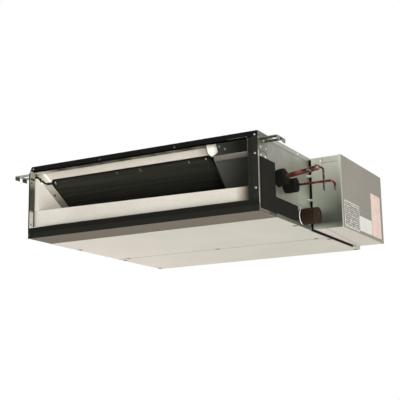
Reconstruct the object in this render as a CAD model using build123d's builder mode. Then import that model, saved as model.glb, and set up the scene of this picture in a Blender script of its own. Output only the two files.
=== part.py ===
from build123d import *

import math
import os

# Ducted air conditioner indoor unit, in millimetres.
# X runs from the left side to the electrical box, Y from the air outlet (front) to the inlet,
# and Z up. The origin is the middle of the casing's footprint, on the plane of its underside.

# Casing
body_width = 700.0
body_depth = 700.0
body_height = 200.0
x_right = body_width / 2
x_left = -x_right
sheet = 1.0
top_lip = 12.0
bottom_lip = 9.0
side_flange = 14.0
panel_seam = 454.0
seam_overlap = 12.0

# Outlet frame on the front face and the collar inside it
frame_sheet = 1.5
frame_top = 13.0
frame_screw_drop = 9.8
frame_bottom = 29.0
frame_left = 4.0
frame_right = 29.0
frame_return = 12.0
rebate_width = 12.0
rebate_depth = 3.0
bottom_step = 15.0
bottom_step_depth = 0.4
corner_cut_width = 9.0
corner_cut_height = 19.0
corner_cut_depth = 20.0
collar_sheet = 1.0
collar_depth = 20.0
collar_top_depth = 33.0
duct_hole_radius = 2.0
duct_hole_inset = 14.0
duct_hole_top = 6.5
duct_hole_bottom = 12.0

# Foam on the outside of the casing
foam_strip_depth = 101.0
foam_strip_thickness = 4.0
side_foam_thickness = 5.0
side_foam_front = 9.0
side_foam_depth = 90.0
side_foam_top = body_height - 62.4
side_foam_base = 8.0
side_foam_tail_end = 226.0
side_foam_tail_base = 11.0
side_foam_tail_top = 51.0

# Evaporator coil, leaning back from its top front edge
coil_lean = 31.0
coil_front = 46.0
coil_top = 0.797 * body_height
coil_face = 1.015 * body_height
coil_thickness = 38.0
coil_left = x_left + 40.0
coil_right = x_right - 162.0
fin_comb = 3.0
fin_thickness = 2.0
fin_pitch = 11.0
tube_radius = 4.75
tube_fit = 0.05
tube_rows = 2
tubes_per_row = 6
tube_sheet = 1.2
tube_sheet_flange = 24.0
tube_overhang = 6.0
header_reach = 22.0
gas_header_radius = 8.0
liquid_header_radius = 4.5
liquid_header_up = 14.5
capillary_radius = 1.8
capillary_up = 12.0

# Drain pan of foam, which falls toward the right
pan_front = 22.0
pan_rear = 284.0
pan_wall = 12.0
pan_half_width = x_right - 4.0
pan_rim = 80.0
pan_fall = 0.017
pan_floor_front = 40.0
pan_floor_rear = 24.0
pan_trough_start = 196.0

# Foam blocks around the outlet
side_block_thickness = 13.0
strip_front = 35.0
strip_rear = 62.0
strip_right_top = x_right - 164.0
strip_right_base = x_right - 153.0
strip_end_base = body_height - 43.5
strip_end_right = x_left + 50.0
strip_end_slope = 6.0
foam_gap = 1.2
end_block_left = x_right - 160.0
end_block_corner = x_right - 143.0
end_block_turn = x_right - 112.0
end_block_right = x_right - 104.0
end_block_front = 5.0
end_block_base = body_height - 40.0
end_block_rear = 46.0

# Cover in front of the coil's headers
cover_sheet = 1.2
cover_left = x_right - 145.0
cover_ledge_left = x_right - 122.0
cover_face_left = x_right - 111.0
cover_face_corner = x_right - 116.0
cover_face_top = body_height - 18.5
cover_face_waist = body_height - 37.0
cover_right = x_right - 30.0
cover_ledge = body_height - 48.7
cover_ledge_depth = 47.0
cover_lean = 43.7
cover_drop = 0.64 * body_height

# Refrigerant pipes
gas_pipe_radius = 6.35
gas_pipe_depth = 113.0
gas_pipe_height = 101.0
gas_sleeve_radius = 22.5
gas_sleeve_end = x_right + 24.0
gas_hole_radius = 14.0
gas_reach = 89.0
gas_rise = 7.7
gas_tail_radius = 2.6
gas_tail_reach = 122.0
gas_tail_drop = 53.0
liquid_pipe_radius = 3.175
liquid_pipe_depth = 158.0
liquid_pipe_height = 89.5
liquid_sleeve_radius = 19.5
liquid_sleeve_end = x_right + 33.0
liquid_hole_radius = 9.0
liquid_reach = 134.0
liquid_tail_drop = 19.0
pinch_length = 7.0
valve_body_radius = 9.0
valve_coil_radius = 17.0
valve_coil_height = 24.0

# Drain
drain_depth = 250.0
drain_height = 25.0
drain_radius = 16.0
drain_bore = 13.0
drain_ring_radius = 20.5
drain_ring_width = 6.0
drain_cap_radius = 21.5
drain_cap_length = 44.0
drain_cap_wall_end = 12.0

# Fan section
bulkhead_depth = 286.0
fan_depth = 432.0
fan_height = 0.455 * body_height
wheel_radius = 0.35 * body_height
wheel_inner_radius = wheel_radius - 12.0
wheel_width = 160.0
wheel_offset = 150.0
wheel_ring = 4.0
wheel_disc = 2.0
blade_count = 32
blade_thickness = 1.2
blade_camber = 2.2
hub_radius = 14.0
hub_length = 26.0
shaft_radius = 5.0
shaft_clearance = 0.05
scroll_step = 0.0225 * body_height
tongue_clearance = 6.0
scroll_wall = 1.5
scroll_side_gap = 4.0
scroll_inlet_radius = wheel_radius - 14.0
scroll_flange = 9.0
tongue_rise = 16.0
motor_radius = wheel_radius - 23.0
motor_length = 92.0
motor_boss_radius = 16.0
motor_boss_length = 9.0
ring_width = 7.0
clamp_width = 9.0
clamp_sheet = 1.5
mount_sheet = 2.0
mount_width = 124.0

# Rear inlet and air filter
inlet_border_side = 24.0
inlet_border_height = 22.0
rail_depth = 14.0
rail_height = 23.0
filter_depth = body_depth - 68.0
groove_depth = 12.0
filter_thickness = 6.0
filter_clearance = 0.4
filter_bar = 10.0
filter_mesh_thickness = 0.8
filter_cells = 6
filter_tab = 6.0

# Suspension brackets
bracket_sheet = 1.6
bracket_width = 50.0
bracket_reach = 50.0
bracket_height = body_height - 18.0
bracket_leg = 30.0
bracket_inset = 28.0
bracket_slot_centre = x_right + 26.0
bracket_slot_width = 14.0
bracket_slot_length = 30.0
bracket_tab_drop = 9.5
bracket_notch = 13.0

# Electrical box
box_gap = 8.0
box_width = 85.5
box_front = 317.0
box_rear = body_depth - 60.0
box_base = 1.0
box_top = body_height - 4.0
box_sheet = 1.2
box_lip = 8.0
box_seal_width = 12.0
box_flap_height = 15.0
box_flap_sheet = 0.6
box_tab_centre = 25.6
box_tab_size = 14.0
box_step_width = 12.0
box_step_depth = 0.4
hook_sheet = 1.0
hook_height = 7.0
hook_reach = 12.0
hook_lap = 10.0
board_thickness = 1.6
board_standoff = 8.0
cable_hole_radius = 11.0
grommet_bore_radius = 8.0
grommet_flange = 3.0

# Screws
screw_radius = 2.0
screw_head_radius = 3.2
screw_head_height = 1.6
screw_length = 2.6
screw_clearance = 0.5

flat_head_radius = screw_radius + sheet
y_front = -body_depth / 2
y_rear = body_depth / 2
side_outer = x_right - sheet
side_inner = side_outer - sheet
frame_back = y_front + frame_sheet
opening_left = -side_outer + frame_left
opening_right = side_outer - frame_right
opening_top = body_height - frame_top
opening_bottom = frame_bottom
base_top = foam_strip_thickness + sheet
strip_back = y_front + foam_strip_depth
lean = math.radians(coil_lean)
cover_angle = math.radians(cover_lean)


def from_front(depth):
    """The Y of a point that lies this deep behind the front face."""
    return y_front + depth


def block(x, y, z, mode=Mode.ADD):
    """A box between the (low, high) pairs, in the part that is being built."""
    with Locations(((x[0] + x[1]) / 2, (y[0] + y[1]) / 2, (z[0] + z[1]) / 2)):
        Box(x[1] - x[0], y[1] - y[0], z[1] - z[0], mode=mode)


def plane_x(x):
    """A sketch plane across the unit, with local x along Y and local y along Z."""
    return Plane.YZ.offset(x)


def plane_y(y):
    """A sketch plane seen from the front, with local x along X and local y along Z."""
    return Plane.XZ.offset(-y)


def round_bar(x, y, z, radius, mode=Mode.ADD):
    """A round bar along X between the pair of x values."""
    with BuildSketch(plane_x(x[0])) as shape:
        with Locations((y, z)):
            Circle(radius)
    extrude(shape.sketch, amount=x[1] - x[0], mode=mode)


def pan_head_screw(place, outward):
    """A pan head that seats on a face at the place, with its shank behind it."""
    seat = Plane(origin=place, z_dir=outward)
    with BuildSketch(seat) as shape:
        Circle(screw_head_radius)
    extrude(shape.sketch, amount=screw_head_height, taper=20)
    with BuildSketch(seat) as shape:
        Circle(screw_radius)
    extrude(shape.sketch, amount=-screw_length)


def flat_head_screw(place):
    """A countersunk screw that goes up from the underside, flush with it."""
    with BuildSketch(Plane.XY.offset(place[2])) as shape:
        with Locations((place[0], place[1])):
            Circle(flat_head_radius)
    extrude(shape.sketch, amount=sheet, taper=45)
    with BuildSketch(Plane.XY.offset(place[2])) as shape:
        with Locations((place[0], place[1])):
            Circle(screw_radius)
    extrude(shape.sketch, amount=screw_length)


def save(part, name):
    """Labels a finished piece and writes it to its own file."""
    part.part.label = name
    export_step(part.part, f"parts/{name}.step")


os.makedirs("parts", exist_ok=True)

# Places of the screws that hold the casing
side_screw_x = side_inner - side_flange / 2
bottom_edge_depths = (
    from_front(foam_strip_depth + 132.0),
    from_front(panel_seam + 18.0),
    y_rear - 16.0,
)
bottom_screws = [(side * side_screw_x, y, 0.0) for side in (-1, 1) for y in bottom_edge_depths]
seam_screw_y = from_front(panel_seam) - seam_overlap / 2
bottom_screws += [(x, seam_screw_y, 0.0) for x in (-0.89 * x_right, 0.0, 0.89 * x_right)]
front_screw_x = side_outer - 8.0
front_screws = [(front_screw_x, y_front, z) for z in (57.0, 143.0)]
frame_screw_z = body_height - frame_screw_drop
front_screws += [(x, y_front, frame_screw_z) for x in (-114.0, 116.0, front_screw_x)]
front_screws += [(-front_screw_x, y_front, frame_screw_z), (4.0 - side_outer, y_front, 9.8)]
bracket_screw_z = bracket_height - bracket_leg + 9.0
bracket_centres = (from_front(bracket_inset), y_rear - bracket_inset)
bracket_screws = [
    (side * (side_outer + bracket_sheet), y + shift, bracket_screw_z)
    for side in (-1, 1)
    for y in bracket_centres
    for shift in (-bracket_width * 0.29, bracket_width * 0.29)
]
duct_holes = [
    (x, z)
    for x in (-side_outer + duct_hole_inset, side_outer - duct_hole_inset)
    for z in (duct_hole_bottom, body_height - duct_hole_top)
]

# Electrical box, which hangs on the right side by four hooks
box_left = x_right + box_gap
box_right = box_left + box_width
box_y = (from_front(box_front), from_front(box_rear))
box_z = (box_base, box_top)
cover_x = box_right - box_sheet
hook_heights = (0.409 * body_height, 0.74 * body_height)
hook_screws = [
    (side_outer + hook_sheet, y, z)
    for y in (box_y[0] - hook_reach / 2 - hook_sheet / 2, box_y[1] + hook_reach / 2 + hook_sheet / 2)
    for z in hook_heights
]
tab_screw_x = box_left + box_tab_centre
tab_screw_z = box_top - box_tab_size / 2 - 3.0
tab_face_y = box_y[0] - 2 * box_flap_sheet

# More screws, on the lips of the top panel and on the cover of the headers
lip_screw_y = from_front(245.5)
lip_screw_z = body_height - top_lip / 2 - sheet
lip_screws = [(side * x_right, lip_screw_y, lip_screw_z) for side in (-1, 1)]
cover_screw_places = [
    (cover_face_left + 4.0, frame_back, cover_face_top - 7.5),
    (cover_face_left + 20.0, frame_back, cover_face_top - 16.0),
]

# Top panel, with lips turned down outside the side panels
with BuildPart() as top_panel:
    with BuildSketch(Plane.XY.offset(body_height - sheet)):
        with Locations((0, (frame_back + y_rear) / 2)):
            Rectangle(body_width, y_rear - frame_back)
        with BuildLine():
            Polyline(
                (x_left, frame_back),
                (x_left + corner_cut_width, frame_back),
                (x_left + corner_cut_width, from_front(corner_cut_depth)),
                (x_left, from_front(corner_cut_depth)),
                close=True,
            )
        make_face(mode=Mode.SUBTRACT)
    extrude(amount=sheet)
    lip_z = (body_height - top_lip, body_height - sheet)
    block((x_left, -side_outer), (from_front(corner_cut_depth), y_rear), lip_z)
    block((side_outer, x_right), (frame_back, y_rear), lip_z)
    with BuildSketch(plane_x(x_left)):
        with Locations((lip_screw_y, lip_screw_z)):
            Circle(screw_radius)
    extrude(amount=body_width, mode=Mode.SUBTRACT)
save(top_panel, "top_panel")

# Left side panel, with the slot that the air filter slides out of
filter_y = from_front(filter_depth)
filter_low = sheet + rail_height - groove_depth
filter_high = body_height - sheet - rail_height + groove_depth
side_back = y_rear - frame_sheet
with BuildPart() as left_side_panel:
    with BuildSketch(plane_x(-side_outer)):
        with BuildLine():
            Polyline(
                (frame_back, foam_strip_thickness),
                (strip_back, foam_strip_thickness),
                (strip_back, sheet),
                (side_back, sheet),
                (side_back, body_height - sheet),
                (from_front(corner_cut_depth), body_height - sheet),
                (frame_back, body_height - corner_cut_height - sheet),
                close=True,
            )
        make_face()
        with Locations((filter_y, (filter_low + filter_high) / 2)):
            Rectangle(
                filter_thickness + 2 * filter_clearance,
                filter_high - filter_low,
                mode=Mode.SUBTRACT,
            )
    extrude(amount=sheet)
    flange_y = (strip_back, side_back)
    block((-side_inner, -side_inner + side_flange), flange_y, (sheet, 2 * sheet))
    with Locations(
        *[
            Location((x, y, sheet))
            for x, y, z in bottom_screws
            if x < -side_inner + side_flange
        ]
    ):
        Cylinder(screw_radius, 4 * sheet, mode=Mode.SUBTRACT)
    with BuildSketch(plane_x(-side_outer)):
        with Locations(*[(y, z) for x, y, z in bracket_screws + lip_screws if x < 0]):
            Circle(screw_radius)
    extrude(amount=sheet, mode=Mode.SUBTRACT)
save(left_side_panel, "left_side_panel")

# Right side panel, with holes for the pipes, the drain and the wiring
wiring_hole = (from_front((box_front + box_rear) / 2 - 60.0), body_height * 0.62)
wiring_hole_size = (60.0, 34.0)
with BuildPart() as right_side_panel:
    with BuildSketch(plane_x(side_inner)):
        with Locations(((frame_back + side_back) / 2, body_height / 2)):
            Rectangle(side_back - frame_back, body_height - 2 * sheet)
        with Locations((from_front(gas_pipe_depth), gas_pipe_height)):
            Circle(gas_hole_radius, mode=Mode.SUBTRACT)
        with Locations((from_front(liquid_pipe_depth), liquid_pipe_height)):
            Circle(liquid_hole_radius, mode=Mode.SUBTRACT)
        with Locations((from_front(drain_depth), drain_height)):
            Circle(drain_radius, mode=Mode.SUBTRACT)
        with Locations(wiring_hole):
            RectangleRounded(*wiring_hole_size, 8.0, mode=Mode.SUBTRACT)
        side_screws = [place for place in bracket_screws + lip_screws + hook_screws if place[0] > 0]
        with Locations(*[(y, z) for x, y, z in side_screws]):
            Circle(screw_radius, mode=Mode.SUBTRACT)
    extrude(amount=sheet)
    block(
        (side_inner, side_outer),
        (frame_back, strip_back),
        (sheet, foam_strip_thickness),
        mode=Mode.SUBTRACT,
    )
    flange_y = (strip_back, side_back)
    block((side_inner - side_flange, side_inner), flange_y, (sheet, 2 * sheet))
    with Locations(
        *[Location((x, y, sheet)) for x, y, z in bottom_screws if x > side_inner - side_flange]
    ):
        Cylinder(screw_radius, 4 * sheet, mode=Mode.SUBTRACT)
save(right_side_panel, "right_side_panel")


def bottom_panel(y_low, y_high, overlap):
    """A panel of the underside with lips turned up outside the side panels."""
    with BuildSketch(Plane.XY) as shape:
        with Locations((0, (y_low + y_high) / 2)):
            Rectangle(body_width, y_high - y_low)
    extrude(shape.sketch, amount=sheet)
    for low in (x_left, side_outer):
        block((low, low + sheet), (y_low, y_high), (sheet, bottom_lip))
    if overlap:
        seam_x = side_inner - side_flange - 1.0
        block((-seam_x, seam_x), (y_high - overlap, y_high + overlap), (sheet, 2 * sheet))
        block(
            (-seam_x, seam_x),
            (y_high - overlap, y_high),
            (sheet, 2 * sheet),
            mode=Mode.SUBTRACT,
        )


def countersinks(y_low, y_high, x_limit=body_width):
    """Countersunk screw holes through the underside between two Y values."""
    for x, y, z in bottom_screws:
        if y_low < y < y_high and abs(x) < x_limit:
            with BuildSketch(Plane.XY) as shape:
                with Locations((x, y)):
                    Circle(flat_head_radius)
            extrude(shape.sketch, amount=sheet, taper=45, mode=Mode.SUBTRACT)
            with Locations((x, y, 2 * sheet)):
                Cylinder(screw_radius, 4 * sheet, mode=Mode.SUBTRACT)


# Underside in two panels, the rear one for reaching the fans
seam_y = from_front(panel_seam)
with BuildPart() as front_bottom_panel:
    bottom_panel(strip_back, seam_y, 0)
    countersinks(strip_back, seam_y)
save(front_bottom_panel, "front_bottom_panel")

with BuildPart() as rear_bottom_panel:
    bottom_panel(seam_y, y_rear, 0)
    seam_x = side_inner - side_flange - 1.0
    block((-seam_x, seam_x), (seam_y - seam_overlap, seam_y + seam_overlap), (sheet, 2 * sheet))
    countersinks(seam_y - seam_overlap, y_rear)
save(rear_bottom_panel, "rear_bottom_panel")

# Front strip of the underside, with the foam that covers it
with BuildPart() as front_base_panel:
    block((-side_inner, side_inner), (frame_back, strip_back), (foam_strip_thickness, base_top))
    for low in (-side_inner, side_inner - sheet):
        block((low, low + sheet), (frame_back + frame_return, strip_back), (base_top, 14.0))
save(front_base_panel, "front_base_panel")

with BuildPart() as bottom_foam:
    block((-side_outer, side_outer), (frame_back, strip_back), (0, foam_strip_thickness))
save(bottom_foam, "bottom_foam")

# Outlet frame, a front plate with its edges turned back inside the casing
with BuildPart() as outlet_frame:
    with BuildSketch(plane_y(frame_back)):
        with Locations((0, body_height / 2)):
            Rectangle(2 * side_outer, body_height)
        with Locations(
            ((opening_left + opening_right) / 2, (opening_bottom + opening_top) / 2)
        ):
            Rectangle(
                opening_right - opening_left,
                opening_top - opening_bottom,
                mode=Mode.SUBTRACT,
            )
        with BuildLine():
            Polyline(
                (-side_outer, body_height),
                (-side_outer + corner_cut_width, body_height),
                (-side_outer, body_height - corner_cut_height),
                close=True,
            )
        make_face(mode=Mode.SUBTRACT)
        with Locations(*duct_holes):
            Circle(duct_hole_radius, mode=Mode.SUBTRACT)
        with Locations(*[(x, z) for x, y, z in front_screws]):
            Circle(screw_radius, mode=Mode.SUBTRACT)
    extrude(amount=frame_sheet)
    return_y = (frame_back, frame_back + frame_return)
    top_return_x = (-side_inner + corner_cut_width, side_inner)
    block(top_return_x, return_y, (body_height - sheet - frame_sheet, body_height - sheet))
    block(
        (side_inner - frame_sheet, side_inner),
        return_y,
        (base_top, body_height - sheet - frame_sheet),
    )
    block((-side_inner + sheet, side_inner - frame_sheet), return_y, (base_top, base_top + frame_sheet))
    # The inner part of the right stile stands a little way back
    rebate_x = (opening_right, opening_right + rebate_width)
    rebate_z = (opening_bottom, opening_top)
    block(rebate_x, (y_front, frame_back), rebate_z, mode=Mode.SUBTRACT)
    block(
        (opening_right, opening_right + rebate_width + frame_sheet),
        (y_front + rebate_depth, frame_back + rebate_depth),
        rebate_z,
    )
    block(
        (opening_right + rebate_width, opening_right + rebate_width + frame_sheet),
        (frame_back, y_front + rebate_depth),
        rebate_z,
    )
    # The lower part of the bottom band is pressed back a little
    block(
        (-side_outer, side_outer),
        (y_front, y_front + bottom_step_depth),
        (0, bottom_step),
        mode=Mode.SUBTRACT,
    )
save(outlet_frame, "outlet_frame")

# Collar that lines the opening on the left, the top and the bottom
collar_right = opening_right
collar_y = (y_front, from_front(collar_depth))
with BuildPart() as outlet_collar:
    block((opening_left, opening_left + collar_sheet), collar_y, (opening_bottom, opening_top))
    block(
        (opening_left + collar_sheet, collar_right),
        (y_front, from_front(collar_top_depth)),
        (opening_top - collar_sheet, opening_top),
    )
    block(
        (opening_left + collar_sheet, collar_right),
        collar_y,
        (opening_bottom, opening_bottom + collar_sheet),
    )
save(outlet_collar, "outlet_collar")

# Drain pan of moulded foam. Its rim and floor fall toward the drain.
pan_left = -pan_half_width
rim_right = pan_rim - pan_fall * 2 * pan_half_width
with BuildPart() as drain_pan:
    with BuildSketch(plane_y(from_front(pan_rear))):
        with BuildLine():
            Polyline(
                (pan_left, base_top),
                (pan_half_width, base_top),
                (pan_half_width, rim_right),
                (pan_left, pan_rim),
                close=True,
            )
        make_face()
    extrude(amount=pan_rear - pan_front)
    block(
        (pan_left, pan_half_width),
        (strip_back, from_front(pan_rear)),
        (2 * sheet, base_top),
    )
    inner_left = pan_left + pan_wall
    inner_length = 2 * (pan_half_width - pan_wall)
    with BuildSketch(plane_x(inner_left)):
        with BuildLine():
            Polyline(
                (from_front(pan_front + pan_wall), pan_rim + 20.0),
                (from_front(pan_front + pan_wall), pan_floor_front),
                (from_front(pan_trough_start), pan_floor_rear),
                (from_front(pan_rear - pan_wall), pan_floor_rear),
                (from_front(pan_rear - pan_wall), pan_rim + 20.0),
                close=True,
            )
        make_face()
    extrude(amount=inner_length, dir=(1, 0, -pan_fall), mode=Mode.SUBTRACT)
    round_bar(
        (pan_half_width - pan_wall, pan_half_width),
        from_front(drain_depth),
        drain_height,
        drain_radius,
        mode=Mode.SUBTRACT,
    )
    with Locations(*[Location((x, y, screw_length)) for x, y, z in bottom_screws[:6:3]]):
        Cylinder(screw_radius + screw_clearance, 4 * screw_clearance, mode=Mode.SUBTRACT)
save(drain_pan, "drain_pan")


def coil_point(down, up):
    """The Y and Z of a point measured down the coil's front face and up through it."""
    y = from_front(coil_front) + down * math.cos(lean) + up * math.sin(lean)
    z = coil_top - down * math.sin(lean) + up * math.cos(lean)
    return y, z


def coil_plane(down=0.0, up=0.0):
    """A plane on the coil, with local x along X and local y down its face."""
    y, z = coil_point(down, up)
    return Plane(origin=(0, y, z), x_dir=(1, 0, 0), z_dir=(0, math.sin(lean), math.cos(lean)))


def coil_section(x):
    """A sketch plane across the coil, with local x down its face and local y through it."""
    y, z = coil_point(0, 0)
    down = (0, math.cos(lean), -math.sin(lean))
    return Plane(origin=(x, y, z), x_dir=down, z_dir=(1, 0, 0))


row_pitch = coil_thickness / tube_rows
tube_pitch = coil_face / tubes_per_row
tube_places = [
    ((i + 0.5) * tube_pitch, (j + 0.5) * row_pitch)
    for i in range(tubes_per_row)
    for j in range(tube_rows)
]

# Fin pack, with the fins' edges standing out on both faces
fin_count = int((coil_right - coil_left) / fin_pitch)
fin_start = coil_left + tube_sheet
fin_length = coil_right - coil_left - tube_sheet
with BuildPart() as coil_fins:
    with BuildSketch(coil_section(fin_start)):
        with Locations((coil_face / 2, coil_thickness / 2)):
            Rectangle(coil_face, coil_thickness - 2 * fin_comb)
    extrude(amount=fin_length)
    fin_step = (fin_length - fin_thickness) / (fin_count - 1)
    for up in (0, coil_thickness - fin_comb):
        with BuildSketch(coil_plane(up=up)):
            with Locations(
                *[
                    (fin_start + fin_thickness / 2 + i * fin_step, coil_face / 2)
                    for i in range(fin_count)
                ]
            ):
                Rectangle(fin_thickness, coil_face)
        extrude(amount=fin_comb)
    with BuildSketch(coil_section(fin_start)):
        with Locations(*tube_places):
            Circle(tube_radius + tube_fit)
    extrude(amount=fin_length, mode=Mode.SUBTRACT)
save(coil_fins, "coil_fins")

# Hairpin tubes, whose bends stand out of the left tube sheet
tube_end = coil_right + tube_sheet + tube_overhang
bend_start = coil_left - tube_overhang / 2
with BuildPart() as coil_tubes:
    for i in range(tubes_per_row):
        down = (i + 0.5) * tube_pitch
        near = coil_point(down, row_pitch / 2)
        far = coil_point(down, row_pitch * 1.5)
        middle = coil_point(down, row_pitch)
        bend_reach = bend_start - row_pitch / 2
        with BuildLine() as route:
            leg_in = Line((tube_end, *near), (bend_start, *near))
            bend = ThreePointArc(leg_in @ 1, (bend_reach, *middle), (bend_start, *far))
            Line(bend @ 1, (tube_end, *far))
        with BuildSketch(Plane(origin=(tube_end, *near), z_dir=(-1, 0, 0))):
            Circle(tube_radius)
        sweep(path=route.wires()[0])
save(coil_tubes, "coil_tubes")


def tube_sheet_plate(x_low, flange_x):
    """An end plate of the coil with a flange turned out along its front edge."""
    with BuildSketch(coil_section(x_low)) as shape:
        with Locations((coil_face / 2, coil_thickness / 2)):
            Rectangle(coil_face, coil_thickness)
        with Locations(*tube_places):
            Circle(tube_radius + tube_fit, mode=Mode.SUBTRACT)
    extrude(shape.sketch, amount=tube_sheet)
    with BuildSketch(coil_plane()) as shape:
        with Locations(((flange_x[0] + flange_x[1]) / 2, coil_face / 2)):
            Rectangle(flange_x[1] - flange_x[0], coil_face)
    extrude(shape.sketch, amount=tube_sheet)


with BuildPart() as left_tube_sheet:
    tube_sheet_plate(coil_left, (coil_left - tube_sheet_flange, coil_left))
save(left_tube_sheet, "left_tube_sheet")

with BuildPart() as right_tube_sheet:
    tube_sheet_plate(coil_right, (coil_right + tube_sheet, coil_right + tube_sheet + tube_overhang))
save(right_tube_sheet, "right_tube_sheet")


def header(radius, up, branch_radius, branch_up):
    """A manifold along the coil's end with a branch over each tube end of one row."""
    y, z = coil_point(tube_pitch * 0.2, up)
    header_x = coil_right + header_reach
    with BuildSketch(
        Plane(origin=(header_x, y, z), x_dir=(1, 0, 0), z_dir=(0, math.cos(lean), -math.sin(lean)))
    ) as shape:
        Circle(radius)
    extrude(shape.sketch, amount=coil_face - tube_pitch * 0.4)
    for i in range(tubes_per_row):
        y, z = coil_point((i + 0.5) * tube_pitch, branch_up)
        round_bar((tube_end, header_x), y, z, branch_radius)


header_x = coil_right + header_reach
gas_y = from_front(gas_pipe_depth)
liquid_y = from_front(liquid_pipe_depth)
pipe_start = side_inner - 24.0

# Gas side: header, the pipe to the outside and its sealed end
gas_take_off = coil_point(coil_face / 2, row_pitch * 1.5)
stub_rise = math.radians(gas_rise)


def gas_height(x):
    """The height of the gas pipe's axis where it passes this x, outside and near the casing."""
    return gas_pipe_height + (x - x_right) * math.tan(stub_rise)


with BuildPart() as gas_header:
    header(gas_header_radius, row_pitch * 1.5, tube_radius, row_pitch * 1.5)
save(gas_header, "gas_header")

gas_tip_x = x_right + gas_reach
gas_tip_z = gas_height(gas_tip_x)
with BuildPart() as gas_pipe:
    with BuildLine() as gas_route:
        FilletPolyline(
            (header_x + gas_header_radius, *gas_take_off),
            (header_x + 46.0, *gas_take_off),
            (pipe_start, gas_y, gas_height(pipe_start)),
            (gas_tip_x, gas_y, gas_tip_z),
            radius=18.0,
        )
    with BuildSketch(
        Plane(origin=(header_x + gas_header_radius, *gas_take_off), z_dir=(1, 0, 0))
    ):
        Circle(gas_pipe_radius)
    sweep(path=gas_route.wires()[0])
    tip = Plane(
        origin=(gas_tip_x, gas_y, gas_tip_z),
        x_dir=(0, 1, 0),
        z_dir=(math.cos(stub_rise), 0, math.sin(stub_rise)),
    )
    with BuildSketch(tip):
        Circle(gas_pipe_radius + 0.9)
    extrude(amount=9.0)
    with BuildSketch(tip.offset(9.0)):
        Circle(gas_pipe_radius + 0.9)
    extrude(amount=8.0, taper=28)
    # The thin tail that closes the pipe
    tail_start = gas_tip_x + 15.0 * math.cos(stub_rise)
    tail_z = gas_tip_z + 15.0 * math.sin(stub_rise)
    tail_x = x_right + gas_tail_reach
    with BuildLine() as tail_route:
        FilletPolyline(
            (tail_start, gas_y, tail_z),
            (tail_x, gas_y, tail_z),
            (tail_x, gas_y, tail_z - gas_tail_drop),
            radius=9.0,
        )
    with BuildSketch(Plane(origin=(tail_start, gas_y, tail_z), z_dir=(1, 0, 0))):
        Circle(gas_tail_radius)
    sweep(path=tail_route.wires()[0])
    with BuildSketch(Plane.XY.offset(tail_z - gas_tail_drop)):
        with Locations((tail_x, gas_y)):
            Rectangle(1.8, 2 * gas_tail_radius + 1.6)
    extrude(amount=-pinch_length)
save(gas_pipe, "gas_pipe")

# Liquid side: header, expansion valve, the pipe to the outside and its bent end
liquid_take_off = coil_point(coil_face * 0.78, liquid_header_up)
valve_x = header_x + 46.0
with BuildPart() as liquid_header:
    header(liquid_header_radius, liquid_header_up, capillary_radius, capillary_up)
save(liquid_header, "liquid_header")

with BuildPart() as expansion_valve:
    round_bar((header_x + liquid_header_radius, valve_x), *liquid_take_off, liquid_pipe_radius)
    with BuildSketch(Plane.XY.offset(liquid_take_off[1] - 13.0)):
        with Locations((valve_x, liquid_take_off[0])):
            Circle(valve_body_radius)
    extrude(amount=26.0)
save(expansion_valve, "expansion_valve")

with BuildPart() as expansion_valve_coil:
    with BuildSketch(Plane.XY.offset(liquid_take_off[1] + 13.0)):
        with Locations((valve_x, liquid_take_off[0])):
            Circle(valve_coil_radius)
    extrude(amount=valve_coil_height)
save(expansion_valve_coil, "expansion_valve_coil")

liquid_tail_x = x_right + liquid_reach
with BuildPart() as liquid_pipe:
    with BuildLine() as liquid_route:
        FilletPolyline(
            (valve_x + valve_body_radius, *liquid_take_off),
            (valve_x + 34.0, *liquid_take_off),
            (pipe_start, liquid_y, liquid_pipe_height),
            (liquid_tail_x, liquid_y, liquid_pipe_height),
            (liquid_tail_x, liquid_y, liquid_pipe_height - liquid_tail_drop),
            radius=13.0,
        )
    with BuildSketch(Plane(origin=(valve_x + valve_body_radius, *liquid_take_off), z_dir=(1, 0, 0))):
        Circle(liquid_pipe_radius)
    sweep(path=liquid_route.wires()[0])
    with BuildSketch(Plane.XY.offset(liquid_pipe_height - liquid_tail_drop)):
        with Locations((liquid_tail_x, liquid_y)):
            Rectangle(1.8, 2 * liquid_pipe_radius + 1.6)
    extrude(amount=-pinch_length)
save(liquid_pipe, "liquid_pipe")


def pipe_sleeve(y, height, rise, radius, bore, end):
    """A foam sleeve round a pipe, cut flush with the side panel where it meets it."""
    length = (end - x_right) / math.cos(rise)
    run_in = radius
    seat = Plane(
        origin=(x_right - run_in * math.cos(rise), y, height - run_in * math.sin(rise)),
        x_dir=(0, 1, 0),
        z_dir=(math.cos(rise), 0, math.sin(rise)),
    )
    with BuildSketch(seat) as shape:
        Circle(radius)
    extrude(shape.sketch, amount=length + run_in)
    chamfer(faces().sort_by(Axis.X)[-1].edges(), 2.0)
    with BuildSketch(seat) as shape:
        Circle(bore)
    extrude(shape.sketch, amount=length + run_in, mode=Mode.SUBTRACT)
    block(
        (x_right - 3 * radius, side_outer),
        (y - 2 * radius, y + 2 * radius),
        (height - 2 * radius, height + 2 * radius),
        mode=Mode.SUBTRACT,
    )


with BuildPart() as gas_pipe_sleeve:
    pipe_sleeve(
        gas_y, gas_pipe_height, stub_rise, gas_sleeve_radius, gas_pipe_radius, gas_sleeve_end
    )
save(gas_pipe_sleeve, "gas_pipe_sleeve")

with BuildPart() as liquid_pipe_sleeve:
    pipe_sleeve(
        liquid_y,
        liquid_pipe_height,
        0.0,
        liquid_sleeve_radius,
        liquid_pipe_radius,
        liquid_sleeve_end,
    )
save(liquid_pipe_sleeve, "liquid_pipe_sleeve")

# Foam blocks at the left end and along the top of the outlet
block_slope = math.tan(lean)
side_block_foot_z = pan_rim
side_block_top = coil_top + (coil_front - pan_front) * block_slope
plane_at_block = coil_point(0, 0)


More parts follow.
